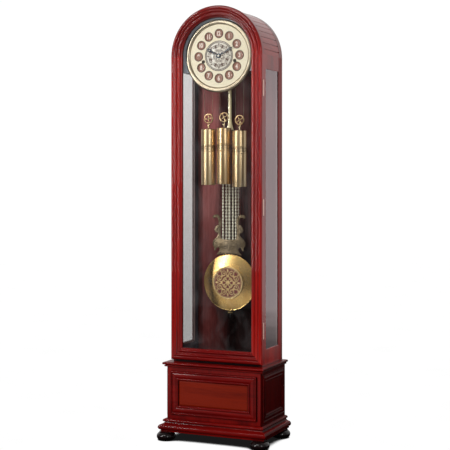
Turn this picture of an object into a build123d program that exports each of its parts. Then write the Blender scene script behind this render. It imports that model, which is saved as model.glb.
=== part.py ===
from build123d import *
import math
import os

os.makedirs("parts", exist_ok=True)

# Arch-top longcase clock with a glazed door, a barrel roof, three cable-hung
# weights and a grid-rod pendulum.  Millimetres, +Z up, front towards -Y.
# The origin is on the floor under the middle of the clock.

# ---------------------------------------------------------------- dimensions
height = 1900.0            # floor to the crown of the arch
back_y = 165.0             # flat back, which stands against a wall

# feet and plinth
foot_r, foot_h = 42.0, 37.0
foot_x, foot_y = 222.0, 123.0
plinth_z0, plinth_z1 = 37.0, 92.0
base_half = 225.0          # base box, half width
base_front = -113.0        # front face of the base box
base_z0, base_z1 = 92.0, 320.0
board_t = 16.0

# waist
waist_z0, waist_z1 = 320.0, 340.0
waist_out = 14.0           # overhang past the base box

# trunk
trunk_half = 212.0
trunk_front = -69.0
side_t = 12.0
back_t = 8.0
spring_z = 1683.3          # centre of the arch, where the straight sides end
window_y0, window_y1 = -29.0, 119.0
window_z0, window_z1 = 410.0, 1620.0
stave_count = 22
stave_first = 6.0          # degrees above the spring line

# door
door_half = 216.7
door_z0 = 349.0
door_front, door_back = -91.5, -70.0
door_w = 52.0              # width of the moulded frame
glass_t = 4.0
glaze_out = 9.0           # outer face of the side glass, from the inside of its board

# hinges on the right edge of the door
hinge_x, hinge_y = 216.0, -69.5
hinge_zs = (494.0, 1023.0, 1536.0)
hinge_len = 64.0
knuckle_r, pin_r = 3.5, 1.5
leaf_t = 1.4

# dial
dial_z = spring_z
dial_face = -62.0
dial_r, bezel_r, bezel_in = 150.0, 160.0, 138.0
numeral_ring_r, numeral_r = 98.0, 20.5
filigree_r = 67.0
minute_angle, hour_angle = 62.0, 300.0   # clockwise from twelve

# movement
plate_half, plate_z0, plate_z1 = 104.0, 1615.0, 1758.0
plate_t = 2.5
plate_front_y, plate_back_y = -40.0, 24.0   # front faces of the two plates
seat_z0, seat_z1 = 1600.0, 1615.0

# weights, cables and barrels
weight_y = -8.0
weight_r, weight_len = 32.0, 248.0
cable_r = 0.7
wrap_r = 19.5              # radius of the cable's centre line on pulley and barrel
pulley_r, pulley_t = 22.0, 6.0
weights = {                # x, pulley centre z, barrel centre z
    "left": (-75.0, 1413.0, 1660.0),
    "centre": (0.0, 1417.0, 1642.0),
    "right": (75.0, 1404.0, 1660.0),
}

# pendulum
pivot_z = 1735.0
pend_y = 58.0
bob_z, bob_r = 683.0, 126.0
bob_back, bob_front = 56.0, 34.0
medallion_r = 73.0


def outline(start, segments):
    """Closed face from line segments (point,) and arcs (middle, end)."""
    with BuildSketch() as face:
        with BuildLine():
            here = start
            for seg in segments:
                if len(seg) == 1:
                    Line(here, seg[0])
                else:
                    ThreePointArc(here, seg[0], seg[1])
                here = seg[-1]
            if (here[0] - start[0]) ** 2 + (here[1] - start[1]) ** 2 > 1e-9:
                Line(here, start)
        make_face()
    return face.sketch


def arch_face(half, z0, zc):
    """Round-topped face: straight sides up to zc, then a half circle."""
    return outline(
        (-half, zc),
        [((-half, z0),), ((half, z0),), ((half, zc),), ((0, zc + half), (-half, zc))],
    )


# The dial, movement, weights and pendulum are drawn about the depth of the
# winding arbors and then stand this far further back in the case.
set_back = 10.0
set_back_parts = (
    "seat_board", "movement_front_plate", "movement_back_plate", "suspension_cock",
    "dial_surround", "dial_plate", "dial_bezel", "numeral_discs", "centre_filigree",
    "hour_hand", "minute_hand", "minute_wheel", "third_wheel", "escape_wheel",
    "weight_left", "weight_centre", "weight_right", "pulley_left", "pulley_centre",
    "pulley_right", "cable_left", "cable_centre", "cable_right", "barrel_left",
    "barrel_centre", "barrel_right", "anchor_crutch", "pendulum_stick", "pendulum_grid",
    "lyre_plate", "bob", "bob_medallion", "rating_nut",
)


def save(builder, label):
    part = builder.part
    if label in set_back_parts:
        part = part.moved(Location((0, set_back, 0)))
    part.label = label
    export_step(part, f"parts/{label}.step")


def mapped(points, fn):
    """Profile written as (start, segments), moved into local x, y by fn."""
    start, segs = points
    return outline(fn(*start), [tuple(fn(*p) for p in seg) for seg in segs])


def inv(a):
    return math.tan(a) - a


def gear_points(teeth, module, phase, add, ded, backlash):
    """Involute wheel or pinion outline about the origin, a tooth centred at phase degrees."""
    rp = teeth * module / 2
    rb = rp * math.cos(math.radians(20))
    ra, rr = rp + add * module, rp - ded * module
    half0 = (math.pi * module / 2 - backlash) / 2 / rp + inv(math.radians(20))
    if rb > rr:
        radii = [rr, max(rb, rr + 0.02 * module), rp, (rp + ra) / 2, ra]
    else:
        radii = [rr, (rr + rp) / 2, rp, (rp + ra) / 2, ra]
    pts = []
    for k in range(teeth):
        c = math.radians(phase) + 2 * math.pi * k / teeth
        half = [half0 if r <= rb else half0 - inv(math.acos(rb / r)) for r in radii]
        pts += [(r * math.cos(c - h), r * math.sin(c - h)) for r, h in zip(radii, half)]
        pts += [
            (r * math.cos(c + h), r * math.sin(c + h))
            for r, h in reversed(list(zip(radii, half)))
        ]
    return pts


def mate_phase(teeth_a, phase_a, teeth_b, direction):
    """Phase of gear b so that it meshes with gear a, b lying in that direction from a."""
    pa, pb = 360 / teeth_a, 360 / teeth_b
    part_pitch = ((direction - phase_a) % pa) / pa
    return direction + 180 + part_pitch * pb + pb / 2


def shifted(points, x, z):
    return [(px + x, pz + z) for px, pz in points]


# ---------------------------------------------------------------- bun feet
with BuildPart() as bun_feet:
    for sx in (-1, 1):
        for sy in (-1, 1):
            with BuildSketch(Plane.XZ.offset(-sy * foot_y)) as sk:
                with BuildLine():
                    x = sx * foot_x
                    Line((x, 0), (x + 30, 0))
                    ThreePointArc((x + 30, 0), (x + foot_r, 17), (x + 31, 33))
                    Line((x + 31, 33), (x + 31, foot_h))
                    Line((x + 31, foot_h), (x, foot_h))
                    Line((x, foot_h), (x, 0))
                make_face()
            revolve(axis=Axis((sx * foot_x, sy * foot_y, 0), (0, 0, 1)))
save(bun_feet, "bun_feet")

# ---------------------------------------------------------------- plinth
# Profile as (outward from the box face, height): bead, cove, large torus, foot.
plinth_profile = (
    (-22.0, plinth_z0),
    [
        ((20.0, plinth_z0),),
        ((20.0, 44.0),),
        ((24.0, 46.0),),
        ((29.5, 56.0), (22.0, 67.0)),
        ((16.5, 69.0),),
        ((9.5, 72.5), (6.5, 79.0)),
        ((9.0, 79.0),),
        ((13.5, 84.5), (9.0, 90.0)),
        ((6.0, 92.0),),
        ((-22.0, plinth_z1),),
    ],
)
waist_profile = (
    (-30.0, waist_z0),
    [
        ((3.0, waist_z0),),
        ((7.6, 324.4), (4.5, 328.6)),
        ((9.0, 329.6),),
        ((15.0, 334.6), (9.0, 339.6)),
        ((7.0, waist_z1),),
        ((-30.0, waist_z1),),
    ],
)


def mitred(profile, half, front, back):
    """Front, left and right strips of one moulding, mitred at both front corners."""
    strips = []
    with BuildPart() as front_strip:
        with BuildSketch(Plane.YZ):
            add(mapped(profile, lambda o, z: (front - o, z)))
        extrude(amount=half + 40, both=True)
        split(bisect_by=Plane(origin=(half, front, 0), z_dir=(-1, -1, 0)), keep=Keep.TOP)
        split(bisect_by=Plane(origin=(-half, front, 0), z_dir=(1, -1, 0)), keep=Keep.TOP)
    strips.append(front_strip.part)
    for side in (-1, 1):
        with BuildPart() as side_strip:
            with BuildSketch(Plane.XZ.offset(-back)):
                add(mapped(profile, lambda o, z: (side * (half + o), z)))
            extrude(amount=back - front + 40)
            split(
                bisect_by=Plane(origin=(side * half, front, 0), z_dir=(side, 1, 0)),
                keep=Keep.TOP,
            )
        strips.append(side_strip.part)
    return strips


plinth_strips = mitred(plinth_profile, base_half, base_front, back_y)

with BuildPart() as base_floor:
    with BuildSketch(Plane.XY.offset(plinth_z0)):
        with Locations((0, (base_front + 22 + back_y) / 2)):
            Rectangle(2 * (base_half - 22), back_y - base_front - 22)
    extrude(amount=base_z0 - plinth_z0)
plinth = Compound(children=plinth_strips + [base_floor.part])
plinth.label = "plinth"
export_step(plinth, "parts/plinth.step")

# ---------------------------------------------------------------- base box
with BuildPart() as base_front_board:
    with BuildSketch(Plane.XY.offset(base_z0)):
        with Locations((0, base_front + board_t / 2)):
            Rectangle(2 * base_half, board_t)
    extrude(amount=base_z1 - base_z0)
    corners = base_front_board.edges().filter_by(Axis.Z).sort_by(Axis.Y)[:2]
    fillet(corners, radius=8)
save(base_front_board, "base_front_board")

# Applied picture-frame moulding: (distance in from its outer edge, depth out of the board)
frame_profile = (
    (0.0, 0.0),
    [
        ((0.0, 5.0),),
        ((3.5, 8.5), (7.0, 5.5)),
        ((9.0, 5.0),),
        ((20.0, 8.0), (28.0, 5.5)),
        ((30.0, 5.0),),
        ((34.0, 8.0), (38.0, 4.5)),
        ((40.0, 3.0),),
        ((40.0, 0.0),),
    ],
)


def framed(profile, x0, x1, z0, z1, plane, sign):
    """Mitred rectangular frame standing on a plane; local x by height z."""
    with BuildPart() as ring:
        # one strip per side, cut by the two mitres at its ends
        for k in range(4):
            if k == 0:
                a, b, o, inward = (x0, z0), (x1, z0), (x0, z0), (0, 1)
            elif k == 1:
                a, b, o, inward = (x1, z0), (x1, z1), (x1, z0), (-1, 0)
            elif k == 2:
                a, b, o, inward = (x1, z1), (x0, z1), (x1, z1), (0, -1)
            else:
                a, b, o, inward = (x0, z1), (x0, z0), (x0, z1), (1, 0)
            length = math.dist(a, b)
            along = ((b[0] - a[0]) / length, (b[1] - a[1]) / length)
            start = plane.from_local_coords((a[0], a[1], 0))
            end = plane.from_local_coords((b[0], b[1], 0))
            dir3 = (end - start).normalized()
            in3 = (
                plane.from_local_coords((a[0] + inward[0], a[1] + inward[1], 0)) - start
            ).normalized()
            out3 = plane.z_dir
            section = Plane(origin=start, x_dir=in3, z_dir=dir3)
            flip = 1 if section.y_dir.dot(out3) > 0 else -1
            with BuildPart(mode=Mode.PRIVATE) as strip:
                with BuildSketch(section):
                    add(mapped(profile, lambda s, d: (s, flip * d)))
                extrude(amount=length)
                split(
                    bisect_by=Plane(origin=start, z_dir=dir3 - in3), keep=Keep.TOP
                )
                split(
                    bisect_by=Plane(origin=end, z_dir=-dir3 - in3), keep=Keep.TOP
                )
            add(strip.part)
    return ring.part


base_front_moulding = framed(
    frame_profile, -204.0, 204.0, 113.0, 302.0, Plane.XZ.offset(-base_front), 1
)
base_front_moulding.label = "base_front_moulding"
export_step(base_front_moulding, "parts/base_front_moulding.step")

with BuildPart() as base_front_panel:
    with BuildSketch(Plane.XZ.offset(-base_front)):
        with Locations((0, 207.5)):
            Rectangle(2 * 163.9, 108.9)
    extrude(amount=3.0)
    top = base_front_panel.faces().sort_by(Axis.Y)[0]
    chamfer(top.edges(), length=2.0, length2=6.0)
save(base_front_panel, "base_front_panel")

with BuildPart() as base_sides:
    for side in (-1, 1):
        with BuildSketch(Plane.XY.offset(base_z0)):
            with Locations(
                (side * (base_half - board_t / 2), (base_front + board_t + back_y - back_t) / 2)
            ):
                Rectangle(board_t, back_y - back_t - base_front - board_t)
        extrude(amount=base_z1 - base_z0)
save(base_sides, "base_sides")

side_profile = (
    (0.0, 0.0),
    [
        ((0.0, 3.0),),
        ((2.5, 5.5), (5.0, 3.5)),
        ((6.5, 3.0),),
        ((14.0, 5.0), (22.0, 3.2)),
        ((24.0, 3.0),),
        ((27.0, 5.2), (30.0, 2.5)),
        ((32.0, 1.5),),
        ((32.0, 0.0),),
    ],
)
side_rings = []
for side in (-1, 1):
    side_plane = Plane(
        origin=(side * base_half, 0, 0), x_dir=(0, side, 0), z_dir=(side, 0, 0)
    )
    ya, yb = sorted((side * (base_front + 14.0), side * (back_y - 14.0)))
    side_rings.append(framed(side_profile, ya, yb, 106.0, 308.0, side_plane, side))
base_side_mouldings = Compound(children=side_rings)
base_side_mouldings.label = "base_side_mouldings"
export_step(base_side_mouldings, "parts/base_side_mouldings.step")

with BuildPart() as base_back:
    with BuildSketch(Plane.XZ.offset(-back_y)):
        with Locations((0, (base_z0 + base_z1) / 2)):
            Rectangle(2 * base_half, base_z1 - base_z0)
    extrude(amount=back_t)

# ---------------------------------------------------------------- waist
waist_strips = mitred(waist_profile, base_half, base_front, back_y)
with BuildPart() as waist_board:
    with BuildSketch(Plane.XY.offset(waist_z0)):
        with Locations((0, (base_front + 30 + back_y) / 2)):
            Rectangle(2 * (base_half - 30), back_y - base_front - 30)
    extrude(amount=waist_z1 - waist_z0)
waist_moulding = Compound(children=waist_strips + [waist_board.part])
waist_moulding.label = "waist_moulding"
export_step(waist_moulding, "parts/waist_moulding.step")

# ---------------------------------------------------------------- trunk
with BuildPart() as trunk_floor:
    with BuildSketch(Plane.XY.offset(waist_z1)):
        with Locations((0, (trunk_front + back_y - back_t) / 2)):
            Rectangle(2 * (trunk_half - side_t), back_y - back_t - trunk_front)
    extrude(amount=18)
save(trunk_floor, "trunk_floor")

for side, label in ((-1, "trunk_side_left"), (1, "trunk_side_right")):
    with BuildPart() as trunk_side:
        x_in = side * (trunk_half - side_t)
        with BuildSketch(Plane.YZ.offset(x_in)):
            with Locations(((trunk_front + back_y - back_t) / 2, (waist_z1 + spring_z) / 2)):
                Rectangle(back_y - back_t - trunk_front, spring_z - waist_z1)
            with Locations(((window_y0 + window_y1) / 2, (window_z0 + window_z1) / 2)):
                Rectangle(
                    window_y1 - window_y0, window_z1 - window_z0, mode=Mode.SUBTRACT
                )
        extrude(amount=side * side_t)
        # glazing rebate from the inside
        with BuildSketch(Plane.YZ.offset(x_in)):
            with Locations(((window_y0 + window_y1) / 2, (window_z0 + window_z1) / 2)):
                Rectangle(window_y1 - window_y0 + 16, window_z1 - window_z0 + 16)
        extrude(amount=side * glaze_out, mode=Mode.SUBTRACT)
        # small round on the outer window edge
        rim = (
            trunk_side.faces()
            .filter_by(Axis.X)
            .sort_by(Axis.X)[-1 if side > 0 else 0]
            .inner_wires()[0]
            .edges()
        )
        chamfer(rim, length=1.5)
        if side > 0:
            # mortises for the hinge leaves in the front edge
            for hz in hinge_zs:
                with BuildSketch(Plane.XY.offset(hz - hinge_len / 2)):
                    with Locations((trunk_half - 8, trunk_front)):
                        Rectangle(16.2, 2 * (leaf_t - 0.4))
                extrude(amount=hinge_len, mode=Mode.SUBTRACT)
    save(trunk_side, label)

glass_parts = []
with BuildPart() as side_glass:
    for side in (-1, 1):
        with BuildSketch(Plane.YZ.offset(side * (trunk_half - side_t + glaze_out - glass_t))):
            with Locations(((window_y0 + window_y1) / 2, (window_z0 + window_z1) / 2)):
                Rectangle(window_y1 - window_y0 + 14, window_z1 - window_z0 + 14)
        extrude(amount=side * glass_t)
save(side_glass, "side_glass")

with BuildPart() as side_glass_beads:
    for side in (-1, 1):
        with BuildSketch(Plane.YZ.offset(side * (trunk_half - side_t))):
            with Locations(((window_y0 + window_y1) / 2, (window_z0 + window_z1) / 2)):
                Rectangle(window_y1 - window_y0 + 16, window_z1 - window_z0 + 16)
                Rectangle(
                    window_y1 - window_y0, window_z1 - window_z0, mode=Mode.SUBTRACT
                )
        extrude(amount=side * (glaze_out - glass_t))
save(side_glass_beads, "side_glass_beads")

with BuildPart() as arch_ribs:
    for y0, y1 in ((trunk_front, -50.0), (128.0, back_y - back_t)):
        with BuildSketch(Plane.XZ.offset(-y0)):
            add(
                outline(
                    (trunk_half, spring_z),
                    [
                        ((0, spring_z + trunk_half), (-trunk_half, spring_z)),
                        ((-trunk_half + side_t, spring_z),),
                        ((0, spring_z + trunk_half - side_t), (trunk_half - side_t, spring_z)),
                    ],
                )
            )
        extrude(amount=-(y1 - y0))
save(arch_ribs, "arch_ribs")

# Barrel roof: bevelled staves laid side by side between the two ribs, and a plain
# strip at each springing.
r_out, r_in, groove = trunk_half - 0.5, trunk_half - 13.0, 2.2
stave_step = (180.0 - 2 * stave_first) / stave_count


def polar(r, a):
    return (r * math.cos(math.radians(a)), spring_z + r * math.sin(math.radians(a)))


stave_list = []
for i in range(-1, stave_count + 1):
    if i == -1:
        a0, a1, bevel0, bevel1 = 0.0, stave_first, 0.0, groove
    elif i == stave_count:
        a0, a1, bevel0, bevel1 = 180.0 - stave_first, 180.0, groove, 0.0
    else:
        a0 = stave_first + i * stave_step
        a1, bevel0, bevel1 = a0 + stave_step, groove, groove
    d0 = math.degrees(bevel0 / r_out)
    d1 = math.degrees(bevel1 / r_out)
    gap = 0.008
    pts = [polar(r_in, a0 + gap)]
    segs = [(polar(r_out - bevel0, a0 + gap),)]
    if bevel0:
        segs.append((polar(r_out, a0 + d0),))
    segs.append((polar(r_out, (a0 + d0 + a1 - d1) / 2), polar(r_out, a1 - d1)))
    if bevel1:
        segs.append((polar(r_out - bevel1, a1 - gap),))
    segs.append((polar(r_in, a1 - gap),))
    segs.append((polar(r_in, (a0 + a1) / 2), polar(r_in, a0 + gap)))
    with BuildPart() as stave:
        with BuildSketch(Plane.XZ.offset(50.0)):
            add(outline(pts[0], segs))
        extrude(amount=-178.0)
    stave_list.append(stave.part)
roof_staves = Compound(children=stave_list)
roof_staves.label = "roof_staves"
export_step(roof_staves, "parts/roof_staves.step")

with BuildPart() as back_panel:
    with BuildSketch(Plane.XZ.offset(-back_y)):
        add(arch_face(trunk_half, waist_z1, spring_z))
    extrude(amount=back_t)
back_panels = Compound(children=[back_panel.part, base_back.part])
back_panels.label = "back_panels"
export_step(back_panels, "parts/back_panels.step")

# ---------------------------------------------------------------- door
# (distance in from the outer edge, depth behind the door's front plane)
door_profile = (
    (0.0, door_back - door_front),
    [
        ((0.0, 8.0),),
        ((2.6, 2.8), (8.0, 0.6)),
        ((12.0, 0.4), (15.5, 2.6)),
        ((17.0, 3.6),),
        ((22.0, 0.0), (27.0, 3.6)),
        ((28.5, 5.2),),
        ((32.0, 6.4), (35.2, 5.6)),
        ((39.6, 2.4), (44.0, 6.0)),
        ((45.2, 7.4),),
        ((50.0, 9.4), (door_w, 13.0)),
        ((door_w, 15.5),),
        ((42.0, 15.5),),
        ((42.0, door_back - door_front),),
    ],
)

for side, label in ((-1, "door_left_stile"), (1, "door_right_stile")):
    with BuildPart() as stile:
        with BuildSketch(Plane.XY.offset(door_z0)):
            add(mapped(door_profile, lambda s, d: (side * (door_half - s), door_front + d)))
        extrude(amount=spring_z - door_z0)
        split(
            bisect_by=Plane(origin=(side * door_half, 0, door_z0), z_dir=(side, 0, 1)),
            keep=Keep.TOP,
        )
        if side > 0:
            # hinge knuckle relief and leaf mortises in the back edge
            for hz in hinge_zs:
                with BuildSketch(Plane.XY.offset(hz - hinge_len / 2 - 4.0)):
                    with Locations((hinge_x, hinge_y)):
                        Circle(knuckle_r + 0.5)
                extrude(amount=hinge_len + 8.0, mode=Mode.SUBTRACT)
                with BuildSketch(Plane.XY.offset(hz - hinge_len / 2 - 0.2)):
                    with Locations((trunk_half - 7.3, door_back)):
                        Rectangle(17.6, 2 * (leaf_t - 0.35))
                extrude(amount=hinge_len + 0.4, mode=Mode.SUBTRACT)
    save(stile, label)

with BuildPart() as door_bottom_rail:
    with BuildSketch(Plane.YZ):
        add(mapped(door_profile, lambda s, d: (door_front + d, door_z0 + s)))
    extrude(amount=door_half, both=True)
    split(
        bisect_by=Plane(origin=(-door_half, 0, door_z0), z_dir=(1, 0, -1)), keep=Keep.TOP
    )
    split(
        bisect_by=Plane(origin=(door_half, 0, door_z0), z_dir=(-1, 0, -1)), keep=Keep.TOP
    )
save(door_bottom_rail, "door_bottom_rail")

with BuildPart() as door_arch:
    with BuildSketch(Plane.XY.offset(spring_z)):
        add(mapped(door_profile, lambda s, d: (door_half - s, door_front + d)))
    revolve(axis=Axis((0, 0, spring_z), (0, -1, 0)), revolution_arc=180)
save(door_arch, "door_arch")

glass_half = door_half - 43.0
with BuildPart() as door_glass:
    with BuildSketch(Plane.XZ.offset(-(door_front + 15.6 + glass_t))):
        add(arch_face(glass_half, door_z0 + 43.0, spring_z))
    extrude(amount=glass_t)
save(door_glass, "door_glass")

with BuildPart() as door_glass_stop:
    with BuildSketch(Plane.XZ.offset(-door_back)):
        add(arch_face(door_half - 42.2, door_z0 + 42.2, spring_z))
        add(arch_face(door_half - door_w, door_z0 + door_w, spring_z), mode=Mode.SUBTRACT)
    extrude(amount=1.8)
save(door_glass_stop, "door_glass_stop")

# ---------------------------------------------------------------- hinges
with BuildPart() as hinge_case_leaves:
    for hz in hinge_zs:
        z0 = hz - hinge_len / 2
        for k, (a, b) in enumerate(((0.0, 21.0), (43.0, hinge_len))):
            with BuildSketch(Plane.XY.offset(z0 + a)):
                with Locations((hinge_x, hinge_y)):
                    Circle(knuckle_r)
            extrude(amount=b - a)
        with BuildSketch(Plane.XY.offset(z0)):
            with Locations(((196.0 + 212.4) / 2, hinge_y + 0.1 + leaf_t / 2)):
                Rectangle(212.4 - 196.0, leaf_t)
        extrude(amount=hinge_len)
        for a, b in ((0.0, 21.0), (43.0, hinge_len)):
            with BuildSketch(Plane.XY.offset(z0 + a)):
                with Locations((213.6, hinge_y + 0.1 + leaf_t / 2)):
                    Rectangle(3.2, leaf_t)
            extrude(amount=b - a)
        with BuildSketch(Plane.XY.offset(z0 - 1)):
            with Locations((hinge_x, hinge_y)):
                Circle(pin_r)
        extrude(amount=hinge_len + 2, mode=Mode.SUBTRACT)

with BuildPart() as hinge_door_leaves:
    for hz in hinge_zs:
        z0 = hz - hinge_len / 2
        with BuildSketch(Plane.XY.offset(z0 + 21.3)):
            with Locations((hinge_x, hinge_y)):
                Circle(knuckle_r)
        extrude(amount=21.4)
        with BuildSketch(Plane.XY.offset(z0)):
            with Locations(((196.0 + 211.7) / 2, hinge_y - 0.1 - leaf_t / 2)):
                Rectangle(211.7 - 196.0, leaf_t)
        extrude(amount=hinge_len)
        with BuildSketch(Plane.XY.offset(z0 + 21.3)):
            with Locations((213.2, hinge_y - 0.1 - leaf_t / 2)):
                Rectangle(3.4, leaf_t)
        extrude(amount=21.4)
        with BuildSketch(Plane.XY.offset(z0 - 1)):
            with Locations((hinge_x, hinge_y)):
                Circle(pin_r + 0.05)
        extrude(amount=hinge_len + 2, mode=Mode.SUBTRACT)
save(hinge_door_leaves, "hinge_door_leaves")

with BuildPart() as hinge_pins:
    for hz in hinge_zs:
        z0 = hz - hinge_len / 2
        with BuildSketch(Plane.XY.offset(z0 - 0.5)):
            with Locations((hinge_x, hinge_y)):
                Circle(pin_r)
        extrude(amount=hinge_len + 1.0)
        for za in (z0 - 3.0, z0 + hinge_len):
            with BuildSketch(Plane.XY.offset(za)):
                with Locations((hinge_x, hinge_y)):
                    Circle(3.2)
            extrude(amount=3.0)
hinge_case_side = Compound(children=[hinge_case_leaves.part, hinge_pins.part])
hinge_case_side.label = "hinge_case_leaves_and_pins"
export_step(hinge_case_side, "parts/hinge_case_leaves_and_pins.step")

# ---------------------------------------------------------------- catch
with BuildPart() as magnetic_catch:
    with BuildSketch(Plane.XY.offset(1000.0)):
        with Locations((-(trunk_half - side_t) + 8, -58.0)):
            Rectangle(16, 20)
    extrude(amount=46)
save(magnetic_catch, "magnetic_catch")

with BuildPart() as catch_strike:
    with BuildSketch(Plane.XY.offset(1003.0)):
        with Locations((-(trunk_half - side_t) + 8, door_back + 0.6)):
            Rectangle(14, 1.2)
    extrude(amount=40)
save(catch_strike, "catch_strike")

# ---------------------------------------------------------------- going train layout
# All wheels turn about Y.  Positions are (x, z); phases are chosen so that they mesh.
centre_at = (0.0, dial_z)
third_at = (16.07, dial_z + 14.43)
escape_at = (0.0, dial_z + 24.0)
m1, m2, m3, m4 = 0.6, 0.55, 0.8, 0.768
centre_teeth, third_pinion, third_teeth, escape_pinion = 64, 8, 60, 8
cannon_teeth, minute_teeth, minute_pinion, hour_teeth = 12, 36, 10, 40
minute_dir = -60.0
minute_at = (
    19.2 * math.cos(math.radians(minute_dir)),
    dial_z + 19.2 * math.sin(math.radians(minute_dir)),
)


def direction(a, b):
    return math.degrees(math.atan2(b[1] - a[1], b[0] - a[0]))


third_pinion_phase = mate_phase(centre_teeth, 0.0, third_pinion, direction(centre_at, third_at))
escape_pinion_phase = mate_phase(third_teeth, 0.0, escape_pinion, direction(third_at, escape_at))
minute_wheel_phase = mate_phase(cannon_teeth, 0.0, minute_teeth, minute_dir)
hour_wheel_phase = mate_phase(minute_pinion, 0.0, hour_teeth, minute_dir + 180.0)


# ---------------------------------------------------------------- movement support
with BuildPart() as seat_board:
    with BuildSketch(Plane.XY.offset(seat_z0)):
        with Locations((0, 0)):
            Rectangle(224, 100)
        # two arms carry the board from the back panel
        for side in (-1, 1):
            with Locations((side * 104.0, (50.0 + back_y - back_t - set_back) / 2)):
                Rectangle(16, back_y - back_t - set_back - 50.0)
        for x, zp, zb in weights.values():
            with Locations((x - wrap_r, weight_y)):
                Rectangle(10, 34, mode=Mode.SUBTRACT)
            with Locations((x + wrap_r, weight_y)):
                Circle(2.0, mode=Mode.SUBTRACT)
    extrude(amount=seat_z1 - seat_z0)
save(seat_board, "seat_board")

with BuildPart() as movement_front_plate:
    with BuildSketch(Plane.XZ.offset(-plate_front_y)):
        with Locations((0, (plate_z0 + plate_z1) / 2)):
            Rectangle(2 * plate_half, plate_z1 - plate_z0)
        with Locations(*[(x, zb) for x, zp, zb in weights.values()]):
            Circle(4.05, mode=Mode.SUBTRACT)
        with Locations((0, dial_z)):
            Circle(3.05, mode=Mode.SUBTRACT)
        with Locations((0, pivot_z), third_at, escape_at):
            Circle(1.55, mode=Mode.SUBTRACT)
    extrude(amount=-plate_t)
    # stud for the minute wheel
    with BuildSketch(Plane.XZ.offset(-plate_front_y)):
        with Locations(minute_at):
            Circle(1.5)
    extrude(amount=9.6)
save(movement_front_plate, "movement_front_plate")

with BuildPart() as movement_back_plate:
    with BuildSketch(Plane.XZ.offset(-plate_back_y)):
        with Locations((0, (plate_z0 + plate_z1) / 2)):
            Rectangle(2 * plate_half, plate_z1 - plate_z0)
        with Locations(*[(x, zb) for x, zp, zb in weights.values()]):
            Circle(3.05, mode=Mode.SUBTRACT)
        with Locations((0, pivot_z)):
            Circle(5.0, mode=Mode.SUBTRACT)
        with Locations(centre_at, third_at, escape_at):
            Circle(1.55, mode=Mode.SUBTRACT)
    extrude(amount=-plate_t)
    # five pillars riveted to the back plate
    with BuildSketch(Plane.XZ.offset(-plate_back_y)):
        with Locations((-80, 1622), (80, 1622), (-95, 1749), (95, 1749), (40, 1749)):
            Circle(4.5)
    extrude(amount=plate_back_y - plate_front_y - plate_t)
save(movement_back_plate, "movement_back_plate")

with BuildPart() as suspension_cock:
    # foot on the back plate, two cheeks and the slotted head
    with BuildSketch(Plane.XZ.offset(-(plate_back_y + plate_t))):
        with Locations((0, 1750)):
            Rectangle(44, 16)
    extrude(amount=-4)
    with BuildSketch(Plane.XY.offset(1742)):
        for side in (-1, 1):
            with Locations((side * 7.8, 48.5)):
                Rectangle(7.0, 36)
    extrude(amount=12)
    with BuildSketch(Plane.XY.offset(1754)):
        with Locations((0, 48.5)):
            Rectangle(22.6, 36)
    extrude(amount=4)
save(suspension_cock, "suspension_cock")

with BuildPart() as chime_rods:
    with BuildSketch(Plane.XZ.offset(-(back_y - back_t))):
        with Locations((-20, 1800)):
            Rectangle(150, 26)
    extrude(amount=22)
    for k in range(9):
        with BuildSketch(Plane.XY.offset(1788)):
            with Locations((-80 + 15 * k, back_y - back_t - 12)):
                Circle(2.2)
        extrude(amount=-(230 - 11 * k))
save(chime_rods, "chime_rods")

# ---------------------------------------------------------------- dial
with BuildPart() as dial_surround:
    with BuildSketch(Plane.XZ.offset(60.0)):
        add(arch_face(198.4, 1613.0, spring_z))
        with Locations((0, (1613.0 + spring_z) / 2)):
            Rectangle(2 * (trunk_half - side_t), spring_z - 1613.0)
        with Locations((0, dial_z)):
            Circle(132.0, mode=Mode.SUBTRACT)
    extrude(amount=-6.0)
save(dial_surround, "dial_surround")

with BuildPart() as dial_plate:
    with BuildSketch(Plane.XZ.offset(62.0)):
        with Locations((0, dial_z)):
            Circle(dial_r)
            Circle(6.0, mode=Mode.SUBTRACT)
        with Locations(*[(x, zb) for x, zp, zb in weights.values()]):
            Circle(6.0, mode=Mode.SUBTRACT)
    extrude(amount=-2.0)
    # four dial feet to the front plate
    with BuildSketch(Plane.XZ.offset(60.0)):
        with Locations(*[(sx * 88, dial_z + dz) for sx in (-1, 1) for dz in (-46, 62)]):
            Circle(3.0)
    extrude(amount=-(plate_front_y + 60.0))
save(dial_plate, "dial_plate")

with BuildPart() as dial_bezel:
    with BuildSketch(Plane.XY.offset(dial_z)):
        add(
            outline(
                (bezel_r, -60.1),
                [
                    ((bezel_r, -63.0),),
                    ((155.5, -68.2), (149.0, -69.0)),
                    ((142.0, -67.2), (bezel_in, -62.9)),
                    ((bezel_in, -62.1),),
                    ((dial_r + 0.2, -62.1),),
                    ((dial_r + 0.2, -60.1),),
                ],
            )
        )
    revolve(axis=Axis((0, 0, dial_z), (0, 1, 0)))
    # small clip on the rim
    clip = Plane.XZ.offset(60.1)
    with BuildSketch(clip):
        with Locations(Location((157 * math.cos(math.radians(-18)), dial_z + 157 * math.sin(math.radians(-18)), 0), (0, 0, -18))):
            RectangleRounded(12, 13, 2.5)
    extrude(amount=3.6)
save(dial_bezel, "dial_bezel")

with BuildPart() as numeral_discs:
    for k in range(12):
        a = math.radians(90 - 30 * k)
        with BuildSketch(Plane.XZ.offset(62.0)):
            with Locations((numeral_ring_r * math.cos(a), dial_z + numeral_ring_r * math.sin(a))):
                Circle(numeral_r)
        extrude(amount=1.5)
save(numeral_discs, "numeral_discs")

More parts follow.
